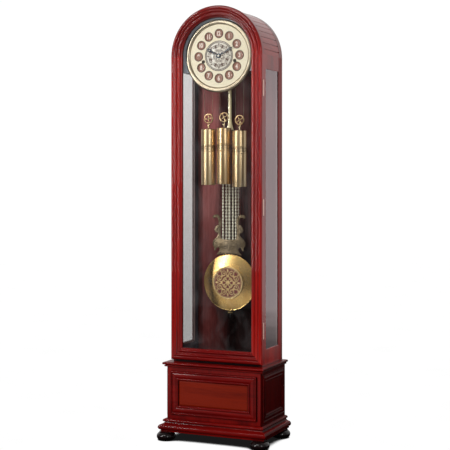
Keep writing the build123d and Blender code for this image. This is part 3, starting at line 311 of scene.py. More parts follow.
class Mat:
    """Node helper."""

    def __init__(self, name):
        self.mat = bpy.data.materials.new(name)
        self.mat.use_nodes = True
        self.t = self.mat.node_tree
        self.t.nodes.clear()
        self.out = self.t.nodes.new("ShaderNodeOutputMaterial")
        self.tc = self.t.nodes.new("ShaderNodeTexCoord")

    def n(self, kind, **vals):
        node = self.t.nodes.new("ShaderNode" + kind)
        for k, v in vals.items():
            setattr(node, k, v)
        return node

    def link(self, a, b):
        self.t.links.new(a, b)

    def bsdf(self, **vals):
        b = self.n("BsdfPrincipled")
        for k, v in vals.items():
            b.inputs[k].default_value = v
        self.link(b.outputs[0], self.out.inputs[0])
        return b

    def scaled(self, sx, sy, sz, source=None, rot=(0, 0, 0)):
        m = self.n("Mapping")
        m.inputs["Scale"].default_value = (sx, sy, sz)
        m.inputs["Rotation"].default_value = rot
        self.link(source or self.tc.outputs["Object"], m.inputs[0])
        return m.outputs[0]

    def noise(self, vec, scale, detail=3.0, rough=0.55, distort=0.0):
        n = self.n("TexNoise")
        n.inputs["Scale"].default_value = scale
        n.inputs["Detail"].default_value = detail
        n.inputs["Roughness"].default_value = rough
        n.inputs["Distortion"].default_value = distort
        self.link(vec, n.inputs["Vector"])
        return n.outputs["Fac"]

    def ramp(self, fac, stops):
        r = self.n("ValToRGB")
        els = r.color_ramp.elements
        while len(els) > len(stops):
            els.remove(els[-1])
        while len(els) < len(stops):
            els.new(0.5)
        for e, (p, c) in zip(els, stops):
            e.position = p
            e.color = c
        self.link(fac, r.inputs[0])
        return r.outputs[0]

    def math(self, op, a, b=None, c=None):
        m = self.n("Math", operation=op)
        for i, x in enumerate((a, b, c)):
            if x is None:
                continue
            if isinstance(x, (int, float)):
                m.inputs[i].default_value = x
            else:
                self.link(x, m.inputs[i])
        return m.outputs[0]

    def mix(self, fac, a, b, blend="MIX"):
        m = self.n("Mix", data_type="RGBA", blend_type=blend)
        if isinstance(fac, (int, float)):
            m.inputs[0].default_value = fac
        else:
            self.link(fac, m.inputs[0])
        for sock, x in ((m.inputs[6], a), (m.inputs[7], b)):
            if isinstance(x, tuple):
                sock.default_value = x
            else:
                self.link(x, sock)
        return m.outputs[2]

    def bump(self, height, strength, dist=0.001):
        b = self.n("Bump")
        b.inputs["Strength"].default_value = strength
        b.inputs["Distance"].default_value = dist
        self.link(height, b.inputs["Height"])
        return b.outputs[0]

    def gray(self, x, lo, hi, a, b):
        """Map x from lo..hi to a..b."""
        m = self.n("MapRange")
        for i, v in enumerate((None, lo, hi, a, b)):
            if v is not None:
                m.inputs[i].default_value = v
        self.link(x, m.inputs[0])
        return m.outputs[0]


def wood(name, axis="z", dark=(62, 6, 8), mid=(112, 14, 14), light=(150, 30, 20), coat=1.0, rough=0.3, figure=0.5, shade=None, spec=0.06, coat_rough=0.035, thin_back=False, thin_flanks=False, figure_fine=0.40):
    """Lacquered wood with its grain along one axis, or round the arch for axis 'arc'."""
    m = Mat(name)
    src = m.tc.outputs["Object"]
    if axis == "arc":
        sep = m.n("SeparateXYZ")
        m.link(src, sep.inputs[0])
        dz = m.math("SUBTRACT", sep.outputs[2], DZ * S)
        rad = m.math("SQRT", m.math("ADD", m.math("MULTIPLY", sep.outputs[0], sep.outputs[0]), m.math("MULTIPLY", dz, dz)))
        ang = m.math("ARCTAN2", sep.outputs[0], dz)
        comb = m.n("CombineXYZ")
        m.link(rad, comb.inputs[0])
        m.link(sep.outputs[1], comb.inputs[1])
        m.link(m.math("MULTIPLY", ang, 0.19), comb.inputs[2])
        src = comb.outputs[0]
        axis = "z"
    long, cross = 5.0, 95.0
    sc = {"z": (cross, cross, long), "x": (long, cross, cross), "y": (cross, long, cross)}[axis]
    grain = m.noise(m.scaled(*sc, source=src), 1.0, 4.0, 0.6, 0.6)
    fine = m.noise(m.scaled(*[c * 7 for c in sc], source=src), 1.0, 2.0, 0.5)
    broad = m.noise(m.scaled(*[max(c * 0.09, 1.4) for c in sc], source=src), 1.0, 3.0, 0.5, 1.2)
    fac = m.math("ADD", m.math("MULTIPLY", grain, figure_fine), m.math("ADD", m.math("MULTIPLY", broad, figure), m.math("MULTIPLY", fine, 0.10)))
    fac = m.gray(fac, 0.28, 0.74, 0.0, 1.0)
    col = m.ramp(fac, [(0.0, srgb(*dark)), (0.45, srgb(*mid)), (1.0, srgb(*light))])
    pores = m.ramp(fine, [(0.30, (0.55, 0.5, 0.5, 1)), (0.42, (1, 1, 1, 1))])
    col = m.mix(0.35, col, pores, "MULTIPLY")
    if shade:
        col = shade(m, col)
    # painted shade: ambient occlusion darkens the quirks of the mouldings
    quirk_shade_ao = m.n("AmbientOcclusion", samples=6)
    quirk_shade_ao.inputs["Distance"].default_value = 0.014
    deep = m.ramp(quirk_shade_ao.outputs["AO"], [(0.38, (0.16, 0.13, 0.13, 1)), (0.78, (1, 1, 1, 1))])
    col = m.mix(1.0, col, deep, "MULTIPLY")
    b = m.bsdf(**{"Roughness": rough, "Coat Weight": coat, "Coat Roughness": coat_rough, "Coat IOR": 1.5, "Specular IOR Level": spec})
    m.link(col, b.inputs["Base Color"])
    wave = m.noise(m.scaled(6, 6, 6), 1.0, 2.0)
    m.link(m.gray(fine, 0.2, 0.8, rough + 0.10, rough - 0.05), b.inputs["Roughness"])
    m.link(m.bump(m.math("ADD", grain, m.math("MULTIPLY", wave, 1.5)), 0.02, 0.0005), b.inputs["Normal"])
    m.link(m.bump(wave, 0.02, 0.0010), b.inputs["Coat Normal"])
    if thin_flanks:
        nrm = m.n("SeparateXYZ")
        m.link(m.tc.outputs["Normal"], nrm.inputs[0])
        m.link(m.gray(m.math("ABSOLUTE", nrm.outputs[0]), 0.25, 0.60, coat, coat * 0.16), b.inputs["Coat Weight"])
    if thin_back:
        # the rear stile of a case side has fewer coats of lacquer
        at = m.n("SeparateXYZ")
        m.link(m.tc.outputs["Object"], at.inputs[0])
        m.link(m.gray(at.outputs[1], 0.117, 0.124, coat, coat * 0.2), b.inputs["Coat Weight"])
    return m.mat


def metal(name, colour, colour2=None, rough=0.16, axis=None, streak=0.05, spots=0.3, bump=0.04):
    """Polished or brushed metal with faint tarnish and fine scratches."""
    m = Mat(name)
    c2 = colour2 or tuple(int(c * 0.82) for c in colour)
    cloud = m.noise(m.scaled(22, 22, 22), 1.0, 4.0, 0.6)
    sc = {"z": (900, 900, 12), "x": (12, 900, 900), "y": (900, 12, 900), None: (420, 420, 420)}[axis]
    fine = m.noise(m.scaled(*sc), 1.0, 2.0, 0.5)
    fac = m.gray(m.math("ADD", m.math("MULTIPLY", cloud, 1.0), m.math("MULTIPLY", fine, 0.25)), 0.42, 0.85, 0.0, 1.0)
    col = m.ramp(fac, [(0.0, srgb(*colour)), (1.0, srgb(*c2))])
    b = m.bsdf(**{"Metallic": 1.0, "Roughness": rough})
    m.link(col, b.inputs["Base Color"])
    m.link(m.gray(m.math("ADD", cloud, m.math("MULTIPLY", fine, 0.5)), 0.4, 1.1, max(rough - streak, 0.02), rough + streak * 2), b.inputs["Roughness"])
    m.link(m.bump(fine, bump, 0.0002), b.inputs["Normal"])
    return m.mat


def drawn(name, c1, c2, rough=0.2):
    """Drawn brass tube: soft upright bands in colour, polish and surface; the colour bands are partly draw marks and
    partly painted reflection streaks.
    """
    m = Mat(name)
    wide = m.noise(m.scaled(95, 95, 0.5), 1.0, 1.0, 0.4)
    thin = m.noise(m.scaled(520, 520, 1.2), 1.0, 2.0, 0.5)
    fac = m.gray(m.math("ADD", m.math("MULTIPLY", wide, 0.8), m.math("MULTIPLY", thin, 0.3)), 0.40, 0.70, 0.0, 1.0)
    b = m.bsdf(**{"Metallic": 1.0, "Roughness": rough})
    m.link(m.ramp(fac, [(0.0, srgb(*c1)), (1.0, srgb(*c2))]), b.inputs["Base Color"])
    m.link(m.gray(thin, 0.3, 0.7, rough - 0.04, rough + 0.06), b.inputs["Roughness"])
    m.link(m.bump(wide, 0.26, 0.0010), b.inputs["Normal"])
    return m.mat


def paint(name, colour, colour2, rough=0.35, scale=60.0, coat=0.3, bump=0.05, metallic=0.0):
    """Satin paint, enamel or laminate with faint mottling."""
    m = Mat(name)
    cloud = m.noise(m.scaled(scale, scale, scale), 1.0, 4.0, 0.6)
    big = m.noise(m.scaled(9, 9, 9), 1.0, 2.0, 0.5)
    fac = m.gray(m.math("ADD", m.math("MULTIPLY", cloud, 0.6), m.math("MULTIPLY", big, 0.6)), 0.40, 0.80, 0.0, 1.0)
    col = m.ramp(fac, [(0.0, srgb(*colour)), (1.0, srgb(*colour2))])
    b = m.bsdf(**{"Roughness": rough, "Coat Weight": coat, "Coat Roughness": 0.08, "Metallic": metallic})
    m.link(col, b.inputs["Base Color"])
    m.link(m.gray(cloud, 0.3, 0.7, rough - 0.06, rough + 0.08), b.inputs["Roughness"])
    m.link(m.bump(cloud, bump, 0.0003), b.inputs["Normal"])
    return m.mat


def pane(name, tint=(0.93, 0.95, 0.95, 1.0), dust=0.035, share_gain=1.8, gloss_tint=(1, 1, 1, 1), low=None):
    """Thin window glass: clear, with a mirror share that rises at a glancing look."""
    m = Mat(name)
    clear = m.n("BsdfTransparent")
    clear.inputs[0].default_value = tint
    if low:
        # painted shade: the lower part of the glass lets less through, so the window reads darker low down
        up = m.n("SeparateXYZ")
        m.link(m.tc.outputs["Object"], up.inputs[0])
        m.link(m.mix(m.gray(up.outputs[2], 0.55, 1.50, 0.0, 1.0), low, tint), clear.inputs[0])
    gloss = m.n("BsdfGlossy")
    gloss.inputs["Color"].default_value = gloss_tint
    gloss.inputs["Roughness"].default_value = 0.012
    waves = m.noise(m.scaled(3.5, 3.5, 2.0), 1.0, 2.0)
    m.link(m.bump(waves, 0.04, 0.002), gloss.inputs["Normal"])
    fr = m.n("Fresnel")
    fr.inputs["IOR"].default_value = 1.5
    geo = m.n("NewGeometry")
    front = m.math("SUBTRACT", 1.0, geo.outputs["Backfacing"])
    share = m.math("MINIMUM", m.math("MULTIPLY", m.math("MULTIPLY", fr.outputs[0], share_gain), front), 1.0)
    mix = m.n("MixShader")
    m.link(share, mix.inputs[0])
    m.link(clear.outputs[0], mix.inputs[1])
    m.link(gloss.outputs[0], mix.inputs[2])
    haze = m.n("BsdfDiffuse")
    haze.inputs["Color"].default_value = (0.8, 0.82, 0.84, 1)
    smear = m.noise(m.scaled(14, 14, 9), 1.0, 5.0, 0.65, 0.8)
    mix2 = m.n("MixShader")
    m.link(m.gray(smear, 0.45, 0.9, 0.0, dust), mix2.inputs[0])
    m.link(mix.outputs[0], mix2.inputs[1])
    m.link(haze.outputs[0], mix2.inputs[2])
    m.link(mix2.outputs[0], m.out.inputs[0])
    return m.mat


def panel_shade(m, col):
    """The back panel is stained in soft upright bands, with painted light and shade over them."""
    sep = m.n("SeparateXYZ")
    m.link(m.tc.outputs["Object"], sep.inputs[0])
    bands = m.noise(m.scaled(16, 1, 0.4), 1.0, 2.0, 0.4)
    f = m.gray(bands, 0.35, 0.65, 0.55, 1.25)
    # painted light and shade: lighter at the top, darker and redder towards the floor of the case, darkest low at its
    # right
    up = m.gray(sep.outputs[2], 0.62, 1.30, 0.42, 1.45)
    low = m.gray(sep.outputs[2], 0.70, 1.05, 1.0, 0.0)
    right = m.math("MULTIPLY", m.gray(low, 0.0, 1.0, 0.62, 0.86), m.gray(sep.outputs[0], -0.095, -0.040, 0.0, 1.0))
    f = m.math("MULTIPLY", f, m.math("MULTIPLY", up, m.math("SUBTRACT", 1.0, right)))
    g = m.n("CombineColor")
    for i, keep in enumerate((1.0, 0.62, 0.62)):
        m.link(m.math("MULTIPLY", f, m.gray(low, 0.0, 1.0, 1.0, keep)), g.inputs[i])
    return m.mix(1.0, col, g.outputs[0], "MULTIPLY")


def deep_shade(m, col):
    """Painted shade: the base's flanks, picked out by their normals, are darker than its front."""
    sep = m.n("SeparateXYZ")
    m.link(m.tc.outputs["Normal"], sep.inputs[0])
    f = m.gray(m.math("ABSOLUTE", sep.outputs[0]), 0.30, 0.65, 1.0, 0.34)
    g = m.n("CombineColor")
    for i in range(3):
        m.link(f, g.inputs[i])
    return m.mix(1.0, col, g.outputs[0], "MULTIPLY")


def arch_shade(m, col):
    """The arch's painted shade is lifted near the spring line, up to the stiles' colour where it meets them."""
    sep = m.n("SeparateXYZ")
    m.link(m.tc.outputs["Object"], sep.inputs[0])
    f = m.gray(sep.outputs[2], 1.6833, 1.80, 1.75, 1.0)
    g = m.n("CombineColor")
    for i in range(3):
        m.link(f, g.inputs[i])
    return m.mix(1.0, col, g.outputs[0], "MULTIPLY")


def side_shade(m, col):
    """The inside of a case side is stained nearly black-blue; its outer faces are lacquered."""
    sep = m.n("SeparateXYZ")
    m.link(m.tc.outputs["Object"], sep.inputs[0])
    inside = m.gray(m.math("ABSOLUTE", sep.outputs[0]), 0.2003, 0.2006, 1.0, 0.0)
    blot = m.noise(m.scaled(30, 30, 6), 1.0, 3.0)
    stain = m.ramp(blot, [(0.3, srgb(58, 50, 58)), (0.7, srgb(84, 76, 84))])
    return m.mix(inside, col, stain)


RED = dict(dark=(104, 6, 5), mid=(158, 15, 8), light=(196, 34, 14), coat=0.70, figure_fine=0.24)
# painted shade: a darker copy of the case lacquer for the base, waist, plinth and the door's bottom rail, for light
# falling off towards the floor
BASE_SHADED = dict(dark=(56, 4, 5), mid=(106, 8, 7), light=(140, 18, 10), coat=0.22, spec=0.02, coat_rough=0.09, thin_flanks=True)
# painted shade: a darker copy of the case lacquer for the door arch and the arch ribs
ARCH_SHADED = dict(dark=(70, 5, 6), mid=(120, 12, 8), light=(158, 28, 14), coat=0.62, figure_fine=0.24)
M = {
    "wood_z": wood("lacquer_upright", "z", **RED),
    "wood_x": wood("lacquer_across", "x", **RED),
    "wood_y": wood("lacquer_front_to_back", "y", **RED),
    "side": wood("lacquer_case_side", "z", shade=side_shade, thin_back=True, **RED),
    "wood_arc": wood("lacquer_arch", "arc", shade=arch_shade, **ARCH_SHADED),
    "deep_z": wood("shaded_lacquer_upright", "z", shade=deep_shade, **BASE_SHADED),
    "deep_x": wood("shaded_lacquer_across", "x", shade=deep_shade, **BASE_SHADED),
    "deep_y": wood("shaded_lacquer_front_to_back", "y", shade=deep_shade, **BASE_SHADED),
    "field": wood("lacquer_field", "x", dark=(58, 6, 3), mid=(94, 15, 5), light=(124, 28, 8), figure=0.9, coat=0.12, spec=0.02),
    "inner": wood("inner_panel", "z", dark=(104, 54, 54), mid=(146, 84, 82), light=(180, 116, 112), coat=0.3, rough=0.4, shade=panel_shade),
    "inner_x": wood("inner_board", "x", dark=(34, 14, 15), mid=(62, 28, 29), light=(92, 48, 46), coat=0.4, rough=0.4),
    "strip": paint("taupe_glazing_strip", (142, 120, 116), (112, 92, 88), rough=0.3, scale=140, coat=0.6),
    "foot": wood("foot_black_lacquer", "z", dark=(7, 4, 5), mid=(16, 7, 8), light=(36, 15, 15), coat=0.6),
    "glass": pane("window_glass", tint=(0.97, 0.975, 0.97, 1.0)),
    "side_glass": pane("side_window_glass", tint=(0.93, 0.93, 0.93, 1.0), share_gain=1.9, gloss_tint=(1.0, 0.86, 0.89, 1.0), low=(0.70, 0.70, 0.70, 1.0)),
    "brass": metal("polished_brass", (236, 206, 142), (220, 184, 112), rough=0.16, streak=0.03),
    "satin": metal("satin_brass", (248, 208, 134), (230, 180, 108), rough=0.25, streak=0.04),
    "gilt": paint("gilt_scrolls", (236, 208, 150), (210, 176, 116), rough=0.32, scale=200, coat=0.3, metallic=0.55),
    "brass_z": drawn("drawn_brass", (240, 218, 178), (206, 168, 118), rough=0.32),
    "brass_pale": metal("pale_brass", (226, 206, 162), (200, 176, 128), rough=0.24, streak=0.05),
    "bezel": metal("pale_gold_bezel", (202, 190, 168), (172, 154, 130), rough=0.29, streak=0.04),
    "olive": metal("dull_lyre_brass", (124, 108, 86), (94, 80, 62), rough=0.40, streak=0.08),
    "silver": metal("silvered_brass", (222, 218, 202), (186, 180, 158), rough=0.34, streak=0.06),
    "wheel": metal("pulley_brass", (206, 174, 132), (170, 134, 92), rough=0.34, streak=0.06),
    "chain": paint("nickel_rope", (250, 244, 226), (222, 214, 190), rough=0.34, scale=300, coat=0.3, metallic=0.1),
    "frost": paint("frosted_silver", (252, 248, 236), (234, 226, 208), rough=0.36, scale=240, coat=0.3, metallic=0.0),
    "rose": paint("rose_brass", (255, 216, 202), (240, 184, 168), rough=0.3, scale=200, coat=0.4, metallic=0.1),
    "copper": paint("rose_enamel", (156, 108, 88), (132, 88, 72), rough=0.36, scale=260, metallic=0.2, coat=0.4),
    "digit": paint("pale_digits", (255, 240, 230), (248, 226, 214), rough=0.35, scale=300, coat=0.2),
    "rim": metal("dark_rim", (66, 46, 36), (44, 30, 24), rough=0.4),
    "ivory": paint("ivory_dial", (255, 245, 218), (250, 235, 204), rough=0.34, scale=110, coat=0.5),
    "ground": paint("filigree_ground", (244, 238, 226), (222, 212, 198), rough=0.4, scale=320, coat=0.2),
    "umber": paint("filigree_umber", (122, 92, 76), (92, 66, 54), rough=0.4, scale=320, coat=0.2),
    "red_ground": paint("medallion_ground", (132, 46, 38), (98, 30, 26), rough=0.34, scale=260, coat=0.5),
    "blue": paint("dial_surround_blue", (214, 220, 232), (182, 190, 204), rough=0.3, scale=70, coat=0.6),
    "steel_blue": metal("blued_steel", (58, 70, 86), (30, 38, 50), rough=0.26, streak=0.05),
    "dark": metal("dark_steel", (70, 68, 68), (44, 42, 42), rough=0.35),
    "cream": paint("cream_lacquered_metal", (214, 200, 158), (192, 174, 130), rough=0.3, scale=90, coat=0.5, metallic=0.25),
    "cable": metal("cable_steel", (150, 140, 118), (110, 100, 84), rough=0.35),
}


def dress(name, *mats):
    me = nodes[name].data
    if len(me.materials) == 0:
        me.materials.append(mats[0])
    for i in range(len(me.materials)):
        me.materials[i] = mats[min(i, len(mats) - 1)]


for n, k in {
    "base_front_board": "deep_z", "base_front_moulding": "deep_x", "base_side_mouldings": "deep_y", "base_sides": "deep_z",
    "base_front_panel": "field", "waist_moulding": "deep_x", "plinth": "deep_x", "bun_feet": "foot",
    "trunk_side_left": "side", "trunk_side_right": "side", "arch_ribs": "wood_arc", "roof_staves": "wood_y",
    "door_left_stile": "wood_z", "door_right_stile": "wood_z", "door_bottom_rail": "deep_x", "door_arch": "wood_arc",
    "back_panels": "inner", "trunk_floor": "inner_x", "seat_board": "inner_x", "side_glass_beads": "strip", "door_glass_stop": "inner_x",
    "side_glass": "side_glass", "door_glass": "glass",
    "hinge_case_leaves_and_pins": "rose", "hinge_door_leaves": "rose", "magnetic_catch": "dark", "catch_strike": "dark",
    "dial_surround": "blue", "dial_plate": "ivory",
    "movement_front_plate": "brass_pale", "movement_back_plate": "brass_pale", "suspension_cock": "brass_pale", "chime_rods": "dark",
    "minute_wheel": "brass_pale", "third_wheel": "brass_pale", "escape_wheel": "brass_pale", "anchor_crutch": "dark",
    "barrel_left": "dark", "barrel_centre": "dark", "barrel_right": "dark",
    "hour_hand": "steel_blue", "minute_hand": "steel_blue", "dial_bezel": "bezel", "numeral_discs": "copper", "centre_filigree": "ground",
    "pendulum_stick": "cream", "pendulum_grid": "silver", "lyre_plate": "olive", "bob": "brass", "bob_medallion": "red_ground",
    "rating_nut": "brass", "weight_left": "brass_z", "weight_centre": "brass_z", "weight_right": "brass_z",
    "pulley_left": "brass_pale", "pulley_centre": "brass_pale", "pulley_right": "brass_pale",
    "cable_left": "cable", "cable_centre": "cable", "cable_right": "cable",
}.items():
    dress(n, M[k])

# ------------------------------------------------------------------ dial: bezel
b = Build()
bez = profile((160.0, -60.1), [((160.0, -62.6),), ((156.6, -67.4), (149.6, -69.0)), ((143.0, -67.9), (139.4, -64.6)), ((138.2, -63.6),), ((138.0, -62.1),), ((150.2, -62.1),), ((150.2, -60.1),)], 14)
b.lathe(bez, about_y(0, DZ), 192)
ca, sa = math.cos(math.radians(-18)), math.sin(math.radians(-18))
clip = []
for cx, cz, a0 in ((3.5, 4.0, 0), (-3.5, 4.0, 90), (-3.5, -4.0, 180), (3.5, -4.0, 270)):
    for k in range(7):
        a = math.radians(a0 + 15 * k)
        clip.append((cx + 2.5 * math.cos(a), cz + 2.5 * math.sin(a)))
b.prism(clip, lambda u, v, t: (157 * ca + u * ca - v * sa, t, DZ + 157 * sa + u * sa + v * ca), -60.1, -63.7)
bezel = b.make("dial_bezel_ring", [M["bezel"]], smooth=50)
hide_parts("dial_bezel")
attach(bezel, "case")

# ------------------------------------------------------------------ dial: numeral discs and numbers
b = Build()
for k in range(12):
    sx, sz = clock(30 * k)
    cx, cz = 98.0 * sx, DZ + 98.0 * sz
    disc = profile((0.0, -62.0), [((20.5, -62.0),), ((20.5, -63.0),), ((19.6, -64.0), (18.2, -63.3)), ((17.6, -62.9),), ((10, -63.25),), ((0.0, -63.35),)], 5)
    b.lathe(disc[:2] + disc[2:8], about_y(cx, cz), 48, m=1, close=False)
    b.lathe(disc[7:], about_y(cx, cz), 48, m=0, close=False)
    # a ring of fine beads inside the rim
    for j in range(28):
        a = 2 * math.pi * j / 28
        px, pz = cx + 15.4 * math.cos(a), cz + 15.4 * math.sin(a)
        top = b.vert(px, -63.9, pz)
        ring = [b.vert(px + 0.75 * math.cos(q * math.pi / 3), -63.0, pz + 0.75 * math.sin(q * math.pi / 3)) for q in range(6)]
        for q in range(6):
            b.face((ring[q], ring[(q + 1) % 6], top), None, 1)
        b.face(list(reversed(ring)), None, 1)
discs = b.make("numeral_medals", [M["copper"], M["rim"]], smooth=45)
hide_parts("numeral_discs")
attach(discs, "case")


def number_mesh(text, size, cx, cz, y, thick, mat, name):
    cu = bpy.data.curves.new(name + "_f", "FONT")
    cu.body = text
    cu.size = size * S
    cu.align_x, cu.align_y = "CENTER", "CENTER"
    cu.extrude = thick / 2 * S
    cu.bevel_depth = 0.12 * S
    cu.offset = 0.65 * S
    cu.space_character = 0.86
    tmp = bpy.data.objects.new(name + "_t", cu)
    scene.collection.objects.link(tmp)
    dg = bpy.context.evaluated_depsgraph_get()
    me = bpy.data.meshes.new_from_object(tmp.evaluated_get(dg), depsgraph=dg)
    bpy.data.objects.remove(tmp)
    co = [v.co for v in me.vertices]
    mx = (min(c.x for c in co) + max(c.x for c in co)) / 2
    my = (min(c.y for c in co) + max(c.y for c in co)) / 2
    me.transform(Matrix(((0.92, 0, 0, cx * S - mx * 0.92), (0, 0, -1, (y + DY) * S), (0, 1.12, 0, cz * S - my * 1.12), (0, 0, 0, 1))))
    me.materials.clear()
    me.materials.append(mat)
    ob = bpy.data.objects.new(name, me)
    scene.collection.objects.link(ob)
    return ob


for k in range(12):
    sx, sz = clock(30 * k)
    num = number_mesh(str(k or 12), 24.0, 98.0 * sx, DZ + 98.0 * sz, -63.9, 0.9, M["digit"], f"number_{k or 12}")
    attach(num, "case")


# ------------------------------------------------------------------ scroll ornament
def scroll(cx, cz, r, a0, turns, flip=1, n=34):
    """Spiral from its eye outwards, ending tangentially."""
    pts = []
    for i in range(n + 1):
        t = i / n
        rad = r * (0.12 + 0.88 * t)
        a = math.radians(a0) + flip * 2 * math.pi * turns * (1 - t)
        pts.append((cx + rad * math.cos(a), cz + rad * math.sin(a)))
    return pts


def leaf(x0, z0, ang, length, width):
    """Small pointed leaf outline."""
    a = math.radians(ang)
    ca_, sa_ = math.cos(a), math.sin(a)
    out = []
    n = 8
    for i in range(n + 1):
        t = i / n
        out.append((t * length, width * math.sin(math.pi * t) ** 0.8))
    for i in range(n - 1, 0, -1):
        t = i / n
        out.append((t * length, -width * math.sin(math.pi * t) ** 0.8))
    return [(x0 + u * ca_ - v * sa_, z0 + u * sa_ + v * ca_) for u, v in out]


def ornament_wire(b, pts, y, r, m=0, squash=0.7, taper=True):
    n = len(pts)
    rr = (lambda i: r * (0.55 + 0.45 * math.sin(math.pi * min(max(i / (n - 1), 0.0), 1.0)))) if taper else r
    b.tube([(x, y, z) for x, z in pts], rr, segs=8, m=m)


def ornament_leaf(b, outline, y, rise, m=0):
    """Domed leaf standing on the ground plane, facing -Y."""
    base = [b.vert(x, y, z) for x, z in outline]
    n = len(outline)
    # spine from base to tip
    spine = [((outline[0][0] * (1 - t) + outline[n // 2][0] * t), (outline[0][1] * (1 - t) + outline[n // 2][1] * t)) for t in (0.25, 0.5, 0.75)]
    top = [b.vert(x, y - rise * h, z) for (x, z), h in zip(spine, (0.8, 1.0, 0.7))]
    half = n // 2
    def near(i):
        t = i / half if i <= half else (n - i) / half
        return 0 if t < 0.375 else (1 if t < 0.625 else 2)
    for i in range(n):
        j = (i + 1) % n
        a_, c_ = near(i), near(j)
        b.face((base[i], base[j], top[a_]), None, m)
        if a_ != c_:
            b.face((base[j], top[c_], top[a_]), None, m)
    b.face(list(reversed(base)), None, m)


# ------------------------------------------------------------------ dial: centre filigree
b = Build()
b.lathe([(6.5, -62.0), (67.0, -62.0), (67.0, -62.6), (66.2, -63.0), (6.5, -63.0)], about_y(0, DZ), 96, m=0)
for r0, m_ in ((65.2, 1), (59.6, 1), (7.6, 2)):
    b.lathe([(r0 - 1.1, -62.9), (r0 - 0.9, -63.9), (r0, -64.3), (r0 + 0.9, -63.9), (r0 + 1.1, -62.9)], about_y(0, DZ), 128, m=m_)
for j in range(60):
    a = 2 * math.pi * j / 60
    cx, cz = 62.4 * math.cos(a), DZ + 62.4 * math.sin(a)
    ring = [b.vert(cx + 1.25 * math.cos(q * math.pi / 4), -62.9, cz + 1.25 * math.sin(q * math.pi / 4)) for q in range(8)]
    mid = [b.vert(cx + 0.8 * math.cos(q * math.pi / 4), -63.7, cz + 0.8 * math.sin(q * math.pi / 4)) for q in range(8)]
    top = b.vert(cx, -64.0, cz)
    for q in range(8):
        b.face((ring[q], ring[(q + 1) % 8], mid[(q + 1) % 8], mid[q]), None, 2)
        b.face((mid[q], mid[(q + 1) % 8], top), None, 2)
    b.face(list(reversed(ring)), None, 2)
for j in range(8):
    base = 45 * j
    ox, oz = clock(base)
    tx, tz = oz, -ox
    for sgn in (-1, 1):
        # outer C scroll
        cx, cz = ox * 43 + tx * sgn * 9.5, DZ + oz * 43 + tz * sgn * 9.5
        pts = scroll(cx, cz, 8.4, 90 - base + (205 if sgn > 0 else -25), 1.35, sgn)
        ornament_wire(b, pts, -63.5, 1.15, 2)
        # inner scroll
        cx, cz = ox * 24 + tx * sgn * 5.6, DZ + oz * 24 + tz * sgn * 5.6
        pts = scroll(cx, cz, 5.6, 90 - base + (20 if sgn > 0 else 160), 1.2, -sgn)
        ornament_wire(b, pts, -63.5, 0.95, 2)
    ornament_leaf(b, leaf(ox * 47, DZ + oz * 47, 90 - base, 10, 2.8), -63.0, 1.1, 2)
    ornament_leaf(b, leaf(ox * 12, DZ + oz * 12, 90 - base, 9, 2.0), -63.0, 1.0, 2)
    ax, az = clock(base + 22.5)
    ornament_leaf(b, leaf(ax * 30, DZ + az * 30, 67.5 - base, 22, 2.6), -63.0, 1.2, 3)
    for side in (-1, 1):
        ornament_leaf(b, leaf(ax * 36, DZ + az * 36, 67.5 - base + side * 48, 9, 1.7), -63.0, 0.9, 3)
        ornament_leaf(b, leaf(ax * 46, DZ + az * 46, 67.5 - base + side * 60, 8, 1.5), -63.0, 0.9, 2)
fil = b.make("centre_scrollwork", [M["ground"], M["rim"], M["umber"], M["umber"]], smooth=50)
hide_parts("centre_filigree")
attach(fil, "case")

# three collars round the winding holes
b = Build()
for x, zp, zb in WEIGHTS.values():
    b.lathe([(5.0, -62.1), (7.4, -62.1), (7.4, -62.9), (6.6, -63.4), (5.4, -63.2), (5.0, -62.6)], about_y(x, zb), 40)
grom = b.make("winding_collars", [M["rim"]], smooth=50)
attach(grom, "case")

# ------------------------------------------------------------------ gears of the motion work
def inv(a):
    return math.tan(a) - a


def gear_points(teeth, module, phase, add, ded, backlash):
    rp = teeth * module / 2
    rb = rp * math.cos(math.radians(20))
    ra, rr = rp + add * module, rp - ded * module
    half0 = (math.pi * module / 2 - backlash) / 2 / rp + inv(math.radians(20))
    if rb > rr:
        radii = [rr, max(rb, rr + 0.02 * module), rp, (rp + ra) / 2, ra]
    else:
        radii = [rr, (rr + rp) / 2, rp, (rp + ra) / 2, ra]
    pts = []
    for k in range(teeth):
        c = math.radians(phase) + 2 * math.pi * k / teeth
        half = [half0 if r <= rb else half0 - inv(math.acos(rb / r)) for r in radii]
        pts += [(r * math.cos(c - h), r * math.sin(c - h)) for r, h in zip(radii, half)]
        pts += [(r * math.cos(c + h), r * math.sin(c + h)) for r, h in reversed(list(zip(radii, half)))]
    return pts


def mate_phase(teeth_a, phase_a, teeth_b, direction):
    pa, pb = 360 / teeth_a, 360 / teeth_b
    return direction + 180 + ((direction - phase_a) % pa) / pa * pb + pb / 2


def join(name, objs):
    """One object from several, all at the origin."""
    bm = bmesh.new()
    mats, remap = [], []
    for o in objs:
        table = []
        for mt in o.data.materials:
            if mt not in mats:
                mats.append(mt)
            table.append(mats.index(mt))
        remap.append(table)
    me = bpy.data.meshes.new(name)
    dg = bpy.context.evaluated_depsgraph_get()
    for o, table in zip(objs, remap):
        tmp = bpy.data.meshes.new_from_object(o.evaluated_get(dg), depsgraph=dg)
        tmp.polygons.foreach_set("material_index", [table[p.material_index] for p in tmp.polygons])
        bm.from_mesh(tmp)
        bpy.data.meshes.remove(tmp)
        bpy.data.objects.remove(o)
    bm.to_mesh(me)
    bm.free()
    for mt in mats:
        me.materials.append(mt)
    ob = bpy.data.objects.new(name, me)
    scene.collection.objects.link(ob)
    return ob


def turned(points, angle):
    a = math.radians(-angle)
    return [(x * math.cos(a) - y * math.sin(a), DZ + x * math.sin(a) + y * math.cos(a)) for x, y in points]


